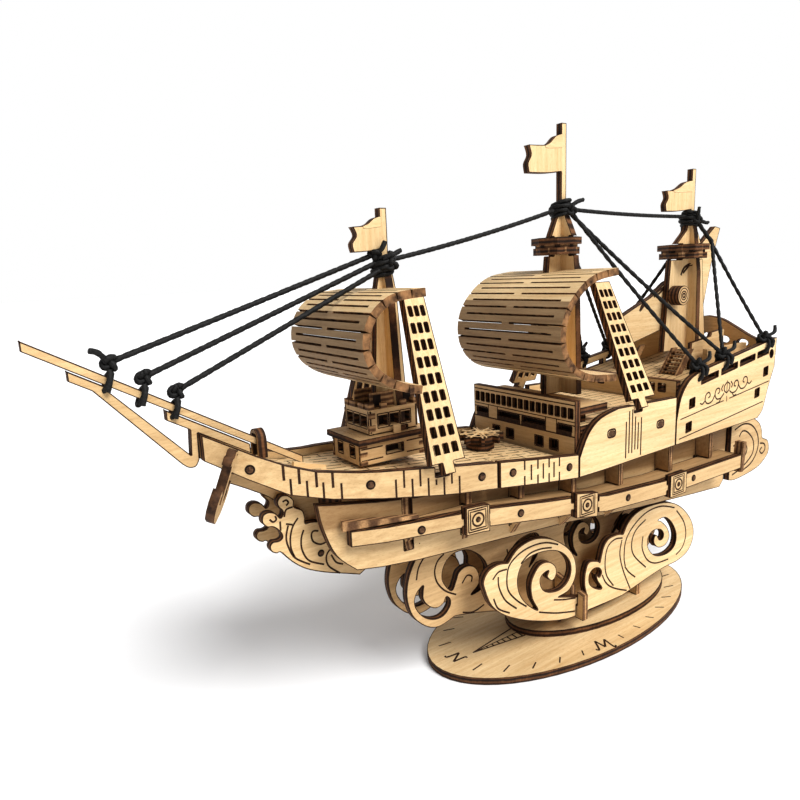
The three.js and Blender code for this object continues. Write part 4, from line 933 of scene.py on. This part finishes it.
# ------------------------------------------------------------------ slatted sails
FORE_LINE = [(-56.5, 112.6), (-64.6, 111.9), (-69.6, 109.6), (-72.6, 106.2), (-73.9, 102), (-73.6, 98),
             (-71.4, 94), (-67.4, 91), (-62.5, 89), (-58.6, 88.2)]
MAIN_LINE = [(8, 114.9), (0, 113.9), (-5, 112.1), (-9, 109.3), (-12.4, 105.8), (-14.5, 101.8), (-15.2, 97.4),
             (-14.4, 93), (-11.9, 89), (-8, 86), (-2, 84), (8, 83)]


def slatted_sail(name, line, half, segments, replaced):
    """A bent sheet whose long slits alternate: one centred slit, then two slits open at the ends."""
    fine = spline(line, 24)
    lengths = [0.0]
    for a, b in zip(fine, fine[1:]):
        lengths.append(lengths[-1] + (b - a).length)

    def along_line(s):
        k = next((i for i in range(1, len(lengths)) if lengths[i] >= s), len(lengths) - 1)
        span = lengths[k] - lengths[k - 1]
        t = (s - lengths[k - 1]) / span if span else 0
        tangent = (fine[k] - fine[k - 1]).normalized()
        return fine[k - 1].lerp(fine[k], min(max(t, 0), 1)), Vector((-tangent.y, tangent.x))

    slit, inner_slit = 0.62, 0.08
    pitch = (lengths[-1] + slit) / (2 * segments)
    stations, kinds = [], []
    for k in range(2 * segments):
        stations += [k * pitch, k * pitch + pitch - slit]
        kinds += ["slat", "centre" if k % 2 == 0 else "ends"]
    kinds = kinds[:-1]
    breaks = [-half, -0.84 * half, -0.07 * half, 0.07 * half, 0.84 * half, half]
    solid_cells = {"slat": (1, 1, 1, 1, 1), "centre": (1, 0, 0, 0, 1), "ends": (0, 0, 1, 0, 0)}
    bm = bmesh.new()
    grid = {}

    def corner(k, j, inner):
        if (k, j, inner) not in grid:
            narrowed = inner and 0 < k < len(stations) - 1
            squeeze = (slit - inner_slit) / 2 * (1 if k % 2 else -1) if narrowed else 0
            place, inward = along_line(stations[k] + squeeze)
            if inner:
                place = place + inward * PLY
            grid[k, j, inner] = bm.verts.new(Vector((place.x, breaks[j], place.y)) * MM)
        return grid[k, j, inner]

    def filled(k, j):
        return 0 <= k < len(kinds) and 0 <= j < 5 and solid_cells[kinds[k]][j]

    for k in range(len(kinds)):
        for j in range(5):
            if not filled(k, j):
                continue
            for inner in (False, True):
                bm.faces.new([corner(k, j, inner), corner(k + 1, j, inner), corner(k + 1, j + 1, inner),
                              corner(k, j + 1, inner)]).material_index = 0
            rims = {(-1, 0): ((k, j), (k, j + 1)), (1, 0): ((k + 1, j), (k + 1, j + 1)),
                    (0, -1): ((k, j), (k + 1, j)), (0, 1): ((k, j + 1), (k + 1, j + 1))}
            for (dk, dj), (a, b) in rims.items():
                if not filled(k + dk, j + dj):
                    bm.faces.new([corner(*a, False), corner(*b, False), corner(*b, True),
                                  corner(*a, True)]).material_index = 1
    bmesh.ops.recalc_face_normals(bm, faces=bm.faces)
    piece = finish_mesh(bm, name, [face["y"], sail_edge, sail_painted_shade])
    for polygon in piece.data.polygons:
        # Painted shade: sheet faces turned towards the bow take the darker sail material.
        if polygon.material_index == 0 and polygon.normal.x < -0.45 and polygon.normal.z < 0.62:
            polygon.material_index = 2
    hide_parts(replaced)


slatted_sail("fore_sail_slats", FORE_LINE, 18.2, 11, "fore_sail")
slatted_sail("main_sail_slats", MAIN_LINE, 21.4, 13, "main_sail")

# ------------------------------------------------------------------ cords and knots
CORD_RADIUS = 0.62


def add_cord(bm, path, step=0.42, around=10):
    """A braided cord: a tube whose surface swells where its strands cross."""
    dense = [path[0]]
    for a, b in zip(path, path[1:]):
        parts = max(1, round((b - a).length / step))
        dense.extend(a.lerp(b, k / parts) for k in range(1, parts + 1))
    rings, travelled, side = [], 0.0, None
    for i, point in enumerate(dense):
        tangent = (dense[min(i + 1, len(dense) - 1)] - dense[max(i - 1, 0)]).normalized()
        if side is None:
            side = tangent.orthogonal().normalized()
        side = (side - tangent * side.dot(tangent)).normalized()
        other = tangent.cross(side)
        if i:
            travelled += (point - dense[i - 1]).length
        ring = []
        for k in range(around):
            angle = math.tau * k / around
            twist = 1.9 * travelled
            swell = max(math.cos(2 * angle + twist), math.cos(2 * angle - twist))
            reach = CORD_RADIUS * (0.9 + 0.14 * swell)
            offset = side * reach * math.cos(angle) + other * reach * math.sin(angle)
            ring.append(bm.verts.new((point + offset) * MM))
        rings.append(ring)
    for first, second in zip(rings, rings[1:]):
        for k in range(around):
            bm.faces.new((first[k], first[(k + 1) % around], second[(k + 1) % around], second[k]))
    bm.faces.new(list(reversed(rings[0])))
    bm.faces.new(rings[-1])


def sagging(start, end, sag, parts=12):
    """A cord's path from start to end, hanging down by sag in the middle."""
    start, end = Vector(start), Vector(end)
    return [start.lerp(end, k / parts) - Vector((0, 0, sag * 4 * (k / parts) * (1 - k / parts)))
            for k in range(parts + 1)]


def add_knot(bm, centre, size, axis, seed):
    """A pulled-tight overhand knot: the path of a trefoil."""
    turn = Vector((0, 0, 1)).rotation_difference(Vector(axis).normalized()).to_matrix()
    start = random.Random(seed).uniform(0, math.tau)
    path = []
    for t in (start + math.tau * k / 30 for k in range(31)):
        local = Vector((math.sin(t) + 2 * math.sin(2 * t), math.cos(t) - 2 * math.cos(2 * t),
                        -1.7 * math.sin(3 * t)))
        path.append(Vector(centre) + turn @ (local * size / 3))
    add_cord(bm, path)


def add_wraps(bm, x, z0, z1, radius, turns, seed):
    """Cord wound loosely round a mast head."""
    rng = random.Random(seed)
    wobble = [rng.uniform(-0.25, 0.25) for _ in range(turns * 6 + 2)]
    path = []
    for k in range(turns * 16 + 1):
        t = k / (turns * 16)
        angle = math.tau * turns * t
        reach = radius + wobble[int(k * 6 / 16)] * 0.8
        lift = z0 + (z1 - z0) * t + 0.5 * math.sin(angle + seed)
        path.append(Vector((x + reach * math.cos(angle), reach * math.sin(angle), lift)))
    add_cord(bm, path)


def add_tail(bm, start, *steps):
    """A free end: its start and its further points measured from there."""
    add_cord(bm, spline([Vector(start) + Vector(step) for step in ((0, 0, 0),) + steps], 6))


def add_span(bm, start, end, sag):
    """A stay between two places."""
    add_cord(bm, spline(sagging(start, end, sag), 6))


def mast_heads(bm):
    """Wraps, knots and free ends at the three mast heads."""
    wraps = ((FORE_X, 115.6, 120.8, 2.3, 5), (FORE_X, 116.8, 119.2, 2.9, 2), (MAIN_X, 130, 134.8, 2.5, 4),
             (MAIN_X, 131, 133.4, 3.1, 2), (REAR_X, 127.6, 132.8, 2.5, 5), (REAR_X, 128.8, 131.4, 3.2, 2))
    for seed, wrap in enumerate(wraps, 1):
        add_wraps(bm, *wrap, seed)
    add_knot(bm, (FORE_X - 2.6, -0.6, 120.9), 1.35, (1, 0.3, 0.3), 20)
    add_knot(bm, (FORE_X + 0.6, -3, 118.2), 1.35, (0, 1, 0.2), 21)
    add_knot(bm, (MAIN_X + 1, -3.2, 132.2), 1.4, (0, 1, 0.2), 22)
    add_knot(bm, (REAR_X - 0.6, -3.3, 130.2), 1.4, (0, 1, 0.2), 23)
    add_tail(bm, (FORE_X - 1.4, -2.4, 119.6), (2.2, -1.2, 1), (4.4, -1.4, 2))
    add_tail(bm, (FORE_X - 2, -2, 121.4), (0.6, -0.6, 1.2), (1.2, -0.6, 2.4))
    add_tail(bm, (MAIN_X - 0.4, -3.2, 132.8), (2.4, -1.2, 1.6), (4.8, -1.4, 2.2))
    add_tail(bm, (REAR_X - 0.8, -3.4, 130.6), (-0.8, -0.8, 1.8), (-0.4, -0.8, 3.4))
    add_tail(bm, (REAR_X, -3.4, 129.8), (2.2, -1.2, -1), (4.2, -1, -1))


SPAR = [(-136.9, 106.9), (-82, 74.2)]
ATHWARTSHIPS = Vector((0, 1, 0))


def spar_stays(bm):
    """Three stays from the fore mast, each tied round the bowsprit."""
    slope = Vector((SPAR[1][0] - SPAR[0][0], 0, SPAR[1][1] - SPAR[0][1])).normalized()
    lift = slope.cross(ATHWARTSHIPS)
    for k, x in enumerate((-122, -115.8, -109.6)):
        end = Vector((x, 0, at(SPAR, x) + 1))
        add_span(bm, (FORE_X - 1.6, 0.6 - 1.2 * k, 121 - 1.9 * k), end + Vector((0.9, 0, 2.4)), 0.05)
        loop = []
        for i in range(14):
            angle = math.tau * i / 13
            centre = end - lift * 1.9 + slope * 0.5 * (i / 13)
            loop.append(centre + ATHWARTSHIPS * 1.75 * math.cos(angle) + lift * 1.95 * math.sin(angle))
        add_cord(bm, loop)
        add_knot(bm, end + Vector((0.1, -0.2, 2)), 1.45, (0.5, 1, 0.2), 10 + k)
        if k == 0:
            add_tail(bm, end + Vector((-0.4, -0.4, 2.6)), (-1.6, -1.2, 1.8), (-3.2, -1.6, 2.4))
        add_tail(bm, end + Vector((-0.2, -1.4, 0.8)), (-0.4, -0.7, -2.2), (-1, -0.5, -4.2))


RAIL_KNOTS = ((46, 83.4), (60.3, 85.4), (86, 88.4))


def shrouds(bm, sign):
    """The four stays of one side, tied off at three places on the stern rail."""
    ends = [Vector((x, -23 * sign, z)) for x, z in RAIL_KNOTS]
    add_span(bm, (MAIN_X + 1.6, -2.2 * sign, 132), ends[0], 0.8)
    add_span(bm, (MAIN_X + 2.2, -1.8 * sign, 131.2), ends[1] + Vector((-0.8, 0, 0.4)), 0.8)
    sail_corners = (79.4, -6 * sign, 122.4), (80.4, -5 * sign, 122.4)
    for k, (corner, knot) in enumerate(zip(sail_corners, ends[1:])):
        top = Vector((REAR_X + 0.4 + k, -2.8 * sign, 129.4 - k))
        path = sagging(top, corner, 0.2, 5)[:-1] + [Vector(corner)] + sagging(corner, knot, 0.5, 8)[1:]
        add_cord(bm, path)
    for k, end in enumerate(ends):
        add_knot(bm, end + Vector((0, 0, 0.2)), 1.75, (0.3, 1, 0.2), 30 + k)
        add_knot(bm, end + Vector((0.4, 0.8 * sign, -1)), 1.5, (1, 0.2, 0.6), 40 + k)
        loop = [end + Vector((0.7 * math.sin(i * 0.52), 2 * math.cos(math.tau * i / 12) * sign,
                              -2.6 + 2.4 * math.sin(math.tau * i / 12))) for i in range(25)]
        add_cord(bm, loop)
        tail = end + Vector((0.6, -0.8 * sign, 0.6))
        add_tail(bm, tail, (2.2, -1.2 * sign, 1.2), (3.6, -0.6 * sign, 3.2))
        add_tail(bm, tail, (0.6, -1.8 * sign, -1.6), (0.4, -1.4 * sign, -4))


cords = bmesh.new()
mast_heads(cords)
spar_stays(cords)
add_span(cords, (FORE_X + 2.2, 0, 119.4), (MAIN_X - 2.4, 0, 132.4), 0.7)
add_span(cords, (MAIN_X + 2.4, 0, 132.8), (REAR_X - 2.6, 0, 131.2), 0.5)
for side, sign in SIDES:
    shrouds(cords, sign)
bmesh.ops.recalc_face_normals(cords, faces=cords.faces)
rigging = finish_mesh(cords, "braided_rigging", [cord_black], smooth=True)
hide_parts("rigging_fore", "rigging_aft")

# ------------------------------------------------------------------ small built pieces
RIBS = (-62.5, -45, -28, -8.5, 12, 37, 60)
HALF_BREADTH = [(-106, 2.6), (-95, 8), (-85, 12.2), (-70, 17), (-50, 20.6), (-25, 23), (0, 24), (100, 24)]
SKIN_HALF = [(-86, 10.6), (-80, 12.6), (-70, 15), (-60, 16), (100, 16)]
BOTH = (1, -1)


def add_box(bm, x0, x1, y0, y1, z0, z1, material_index=0):
    add_prism(bm, [(x0, y0, z0), (x1, y0, z0), (x1, y1, z0), (x0, y1, z0)], (0, 0, z1 - z0), material_index)


def add_mirrored_box(bm, x0, x1, y0, y1, z0, z1, material_index=0):
    for sign in BOTH:
        add_box(bm, x0, x1, y0 * sign, y1 * sign, z0, z1, material_index)


def built(name, bm, materials, body="ship"):
    bmesh.ops.recalc_face_normals(bm, faces=bm.faces)
    return finish_mesh(bm, name, materials, body)


def rib_gussets(side, sign):
    """A bracket at each rib, carrying the shelf and the wale."""
    bm = bmesh.new()
    for x in RIBS:
        shelf, skin, reach = at(SHELF, x), at(SKIN_HALF, x) - 0.3, at(HALF_BREADTH, x) - 2
        shape = [(skin, shelf - 2.1), (reach, shelf - 2.1), (reach, shelf - 5.6), (reach - 2.6, shelf - 7.4),
                 (skin, shelf - 11)]
        add_prism(bm, [(x - PLY / 2, -y * sign, z) for y, z in shape], (PLY, 0, 0))
    gussets = built(f"rib_gussets_{side}", bm, [shade_face["z"], rib_edge["x"]])
    for polygon in gussets.data.polygons:
        polygon.material_index = 0 if abs(polygon.normal.x) > 0.9 else 1


def window_painted_shade():
    """Dark boxes of painted shade just behind the windows, so that no daylight shows through the houses."""
    bm = bmesh.new()
    add_box(bm, -6.97, -6.73, -20.9, 20.9, 62.4, 78.8)
    add_box(bm, -67.2, -52.3, -4.7, 4.7, 70.8, 73.7)
    add_box(bm, -63.7, -53.8, -3.8, 3.8, 78, 81.2)
    built("window_painted_shade", bm, [painted_hole_shade])


for side, sign in SIDES:
    rib_gussets(side, sign)
window_painted_shade()

# ------------------------------------------------------------------ deckhouse joinery
HOUSE, CABIN, FRONT = ["forecastle"], ["forecastle_cabin"], ["house_front"]
HOUSE_SPAN, WAIST_Z = (-69.3, -50.2), 75.4
ROOF_STUBS = ((-66, -64.4, 4.2, 6, 85), (-66, -65.2, 0.6, 3.4, 84.8), (-62.4, -60.6, 5.2, 6, 84.8),
              (-56.4, -54.8, 5.2, 6, 84.8), (-52.6, -51.6, 4, 6, 84.8), (-64.2, -57.2, 3.5, 3.9, 87.2),
              (-55, -50.6, 3.5, 3.9, 87.2))


def forecastle_lines(bm):
    """Planks, window frames and corner posts of the house and cabin."""
    left, right = HOUSE_SPAN
    for view in VIEWS.values():
        straights(bm, HOUSE, view, 0.34, *([(left, z), (-63.1, z)] for z in (71.4, 74.3)),
                  *([(-55.9, z), (right, z)] for z in (71.4, 74.3)), [(left, WAIST_Z), (right, WAIST_Z)])
        straights(bm, HOUSE, view, 0.3, *frame_round(-59.5, 73, 2.65, 1.15))
        for x in (-62, -58.6, -55.2):
            straights(bm, CABIN, view, 0.26, *frame_round(x, 80.4, 1.6, 1.8))
        straights(bm, CABIN, view, KERF, *([(x, 77.6), (x, 83.2)] for x in (-65.6, -51.9)))
    for y in (-3, 3):
        straights(bm, HOUSE, AHEAD, 0.3, *frame_round(y, 73.2, 1.3, 1.6))
    for y in (-3.4, 0, 3.4):
        straights(bm, CABIN, AHEAD, 0.26, *frame_round(y, 80.4, 1.5, 1.8))
    straights(bm, HOUSE, AHEAD, KERF, *([(y, 70.4), (y, WAIST_Z)] for y in (-6.4, 6.4)))
    straights(bm, CABIN, AHEAD, KERF, *([(y, 77.6), (y, 83.2)] for y in (-5.6, 5.6)))
    straights(bm, HOUSE, AHEAD, 0.34, [(-6.4, 75.3), (6.4, 75.3)])


def house_front_lines(bm):
    """Planks, panels and port frames across the front of the main house, and a wide line of painted shadow
    under its slots.
    """
    # The first row, 1.1 wide just under the slots, is painted shadow that makes them look taller.
    rows = ((1.1, 69.9, ((-20, -14.6), (-10, -0.3), (0.1, 10), (14.6, 20))),
            (0.34, 72.4, ((-21, -14.8), (-10.2, 10.2), (14.8, 21))),
            (0.26, 73.4, ((-21, 21),)), (0.34, 78.2, ((-21, 21),)), (0.4, 69.2, ((-21, 21),)))
    for width, z, spans in rows:
        straights(bm, FRONT, AHEAD, width, *([(y0, z), (y1, z)] for y0, y1 in spans))
    straights(bm, FRONT, AHEAD, 0.34, *([(y, 69.2), (y, 73.4)] for y in (-14.4, -10.2, 10.2, 14.4)))
    for y in (-13.4, -7.6, 4.6, 10.8):
        straights(bm, FRONT, AHEAD, 0.26, *frame_round(y, 65.7, 1.75, 1.65))


def deckhouse_joints():
    """Finger joints at the corners, and the rails and stubs on the cabin roof."""
    bm = bmesh.new()
    for z0, z1 in ((70.3, 71.4), (72.5, 73.5), (74.6, 75.5)):
        add_mirrored_box(bm, -69.62, -67.6, -7.14, -6.4, z0, z1)
        add_mirrored_box(bm, -52, -49.9, -7.14, -6.4, z0, z1)
    for z0, z1 in ((78, 79.6), (81.2, 82.6)):
        add_mirrored_box(bm, -66.1, -64.3, -6.12, -5.5, z0, z1)
    for x0, x1, y0, y1, top in ROOF_STUBS:
        add_mirrored_box(bm, x0, x1, y0, y1, 83.4, top)
    built("deckhouse_joints", bm, [rib_edge["z"]])


def deck_furniture():
    """Cabin tabs and sill, slots of painted shade in the roof rails, and the bench plates on the poop."""
    bm = bmesh.new()
    add_mirrored_box(bm, -59.8, -57.6, -7.25, -7, 76.1, 79)
    add_mirrored_box(bm, -70.4, -49.1, -8.15, -8.1, 76, 76.5)
    for x0 in (-63.4, -54.4):
        add_mirrored_box(bm, x0, x0 + 2.2, 3.95, 4.15, 84, 86.6, 1)
    add_mirrored_box(bm, 62, 86.8, 15, 16.6, 78.8, 86.2)
    add_box(bm, -68.2, -65.8, -5.7, 5.7, 76.1, 77.03)
    built("deck_furniture", bm, [shade_face["x"], painted_hole_shade])


POOP_SCREEN_THICK = 1.6
POOP_SCREEN = [(59, 78.9), (78.4, 81.4), (78.4, 91.6), (71, 91), (70.4, 89.6), (59, 88.4)]
lines = bmesh.new()
forecastle_lines(lines)
house_front_lines(lines)
finish_lines(lines, "deckhouse_engraving_and_painted_shadow")
deckhouse_joints()
deck_furniture()
for side, sign in SIDES:
    flat_plate(f"poop_screen_{side}", POOP_SCREEN, [], side_space(-12 * sign), POOP_SCREEN_THICK,
               half_shade_face["x"], edge["y"])

# ------------------------------------------------------------------ stairs, braces, nests, spar shoe
def braces_and_stairs():
    """Poop stairs with their strings, the stern braces and the wedges under the wale's nose."""
    bm = bmesh.new()
    string = ((50, 77.4), (53.2, 77.8), (60.2, 86.4), (57.4, 86.4))
    brace = ((70.6, 43.2), (72.4, 43.2), (73.6, 53.6), (71.8, 53.6))
    nose = ((-80, -15.1, 58.7), (-62, -19.9, 58.9), (-62, -19.9, 59.5), (-80, -15.1, 61))
    tread, step_x, step_z = 2.4, 1.05, 1.25
    for k in range(6):
        x, z = 51.2 + step_x * k, 78.6 + step_z * k
        add_mirrored_box(bm, x, x + tread, -6.2, -11.8, z, z + 0.6)
    for sign in BOTH:
        for y in (6, 12):
            add_prism(bm, [(x, -y * sign, z) for x, z in string], (0, -0.9 * sign, 0))
        add_prism(bm, [(x, -22.6 * sign, z) for x, z in brace], (0, -3.2 * sign, 0))
        add_prism(bm, [(x, y * sign, z) for x, y, z in nose], (0.4, 1.6 * sign, 0))
    built("braces_and_stairs", bm, [rib_edge["y"]])


def nest_walls():
    """The staves of the crow's nests between their two rings."""
    bm = bmesh.new()
    for x, radius, count, z0, z1 in ((71.6, 7.5, 6, 117.2, 120.9), (6.4, 6.4, 8, 120, 123.6)):
        angles = [math.tau * (k + 0.5) / count for k in range(count + 1)]
        ring = [Vector((x + radius * math.cos(a), radius * math.sin(a), z0)) for a in angles]
        for start, end in zip(ring, ring[1:]):
            inward = (Vector((x, 0, z0)) - (start + end) / 2).normalized() * 0.6
            add_prism(bm, [start, end, end + inward, start + inward], (0, 0, z1 - z0))
    built("nest_walls", bm, [rib_edge["z"]])


def spar_shoe():
    """The small wedge under the heel of the bowsprit."""
    bm = bmesh.new()
    add_prism(bm, [(x, -2.4, z) for x, z in ((-85.4, 71.7), (-77, 68.9), (-76.6, 71.1), (-85, 73.5))],
              (0, 1.2, 0))
    built("spar_shoe", bm, [face["x"]])


def mast_engraving():
    """Pairs of leaf strokes on the rear mast and lateen sail, and the rings of the boss."""
    bm = bmesh.new()
    leaves = ((["rear_mast"], [(69.4, 110.9), (71.2, 113.4), (75, 114.8)],
               [(70.6, 111.6), (72.6, 113), (75, 114.6)]),
              (["lateen_sail"], [(57.4, 103.8), (59.6, 105.8), (63.2, 106.9)],
               [(58.4, 104.2), (60.8, 105.2), (63.2, 106.7)]),
              (["lateen_sail"], [(49.6, 99.4), (50.8, 101.4), (52.6, 102.4)],
               [(50.2, 99.8), (51.6, 101), (52.6, 102.2)]))
    for names, first, second in leaves:
        for view in VIEWS.values():
            curves(bm, names, view, 0.9, first)
            curves(bm, names, view, 0.8, second)
    for radius, width in ((2.5, 0.34), (1.5, 0.4), (0.7, 0.6)):
        straights(bm, ["lateen_boss"], PORT, width, circle(65, 104, radius, 28))
    finish_lines(bm, "mast_engraving")


def capstan_star():
    """Eight thin bars and a cap on top of the capstan wheel; they turn with it."""
    low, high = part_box("capstan_wheel")
    hub = Vector(((low[0] + high[0]) / 2, (low[1] + high[1]) / 2, high[2])) / MM
    inner, outer, root, tip = 0.8, 6, 0.34, 0.16
    bm = bmesh.new()
    for angle in (math.tau * (k + 0.5) / 8 for k in range(8)):
        foot = hub + Vector((0, 0, -0.1))
        ray = Vector((math.cos(angle), math.sin(angle), 0))
        across = Vector((-ray.y, ray.x, 0))
        corners = [foot + ray * reach + across * half
                   for reach, half in ((inner, -root), (outer, -tip), (outer, tip), (inner, root))]
        add_prism(bm, corners, (0, 0, 0.34))
    add_disc(bm, hub, (0, 0, 1), 1.5, 0.4)
    built("capstan_star", bm, [face["x"]], "capstan")


braces_and_stairs()
nest_walls()
spar_shoe()
mast_engraving()
capstan_star()

# ------------------------------------------------------------------ flags and anchor
FLAGS = (("fore", FORE_X, -64.7, 127.4, 129.9, 0.36), ("main", MAIN_X, -5.9, 149.9, 153.8, 0.48),
         ("rear", REAR_X, 59.4, 139.5, 143.4, 0.25))


def flag_crest(name, mast_x, tip, high, peak, start):
    """The raised upper corner of a flag, from a share of its length up to the pole."""
    pole_x = mast_x - 0.6
    foot_x = tip + start * (pole_x - tip)
    climb, run = peak - high, pole_x - foot_x
    crest = [(foot_x, high + 0.2), (foot_x + 0.3 * run, high + 0.3 * climb),
             (foot_x + 0.62 * run, high + 0.78 * climb), (pole_x, peak)]
    outline = flat(spline(crest, 4)) + [(pole_x, high), (foot_x + 0.2 * run, high - 0.5),
                                        (foot_x, high - 0.4)]
    flat_plate(f"flag_crest_{name}", outline, [], side_space(0), PLY + 0.12, face["x"],
               edge["y"])


HALF_ANCHOR = [(-1, 1.2), (1, 1.2), (1, 0), (2.6, 0), (2.6, -1.8), (1, -1.8), (1, -10.8), (2.6, -10.2),
               (3, -8.6), (2.2, -8.2), (4.1, -6.6), (4.9, -9.6), (4.4, -11.8), (3, -14), (0, -15.6)]
ANCHOR_RING = Vector((-102.6, -7.6, 80))


def anchor_cut():
    """The anchor hanging from the bow, its sheet turned a little further than the CAD node's."""
    outline = HALF_ANCHOR + [(-u, v) for u, v in HALF_ANCHOR[-2::-1]]
    cast, rise, thick = Vector((0.382, 0.924, 0)), Vector((0.334, -0.138, 0.932)), ANCHOR_NORMAL
    lean = math.radians(-10)
    across = cast * math.cos(lean) - thick * math.sin(lean)
    through = thick * math.cos(lean) + cast * math.sin(lean)
    space = Matrix((across, rise, through)).transposed().to_4x4()
    space.translation = ANCHOR_RING + ANCHOR_NORMAL
    piece = flat_plate("anchor_cut", outline, [], space, PLY, shade_face["z"], anchor_edge)
    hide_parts("anchor_port")


for flag in FLAGS:
    flag_crest(*flag)
anchor_cut()

# ------------------------------------------------------------------ pegs
# The peg holes are dark rings of painted shade.
finish_mesh(dark, "peg_holes", [painted_hole_shade])
finish_mesh(brown, "peg_ends", [peg_end])


# ------------------------------------------------------------------ scorched outlines
def add_outline(bm, mesh, width=0.2):
    """A burnt strip on the sheet face, along every edge that it shares with a cut edge."""
    owners = {}
    for polygon in mesh.polygons:
        corners = [tuple(round(c / MM, 3) for c in mesh.vertices[i].co) for i in polygon.vertices]
        for start, end in zip(corners, corners[1:] + corners[:1]):
            owners.setdefault(frozenset((start, end)), []).append((polygon, start, end))
    for pair in owners.values():
        if len(pair) != 2 or {p.material_index for p, _, _ in pair} != {0, 1}:
            continue
        sheet, start, end = pair[0] if pair[0][0].material_index == 0 else pair[1]
        start, end = Vector(start), Vector(end)
        if (end - start).length < 0.05:
            continue
        inward = sheet.normal.cross(end - start).normalized()
        low = sheet.normal * -0.02
        add_prism(bm, [start + low, end + low, end + low + inward * width, start + low + inward * width],
                  sheet.normal * 0.045)


SCROLLS = ("wave_scroll_outer", "wave_scroll_inner", "stem_scroll", "stern_scroll")
for body in ("ship", "capstan"):
    bm = bmesh.new()
    for name, node in nodes.items():
        if node.hide_render or name.startswith("rigging"):
            continue
        if (body == "capstan") == (name == "capstan_wheel"):
            add_outline(bm, node.data)
    if body == "ship":
        for name in (f"{part}_{side}" for side in VIEWS for part in SCROLLS):
            add_outline(bm, bpy.data.objects[name].data)
    bmesh.ops.recalc_face_normals(bm, faces=bm.faces)
    finish_mesh(bm, f"scorched_outline_{body}", [burnt], body)
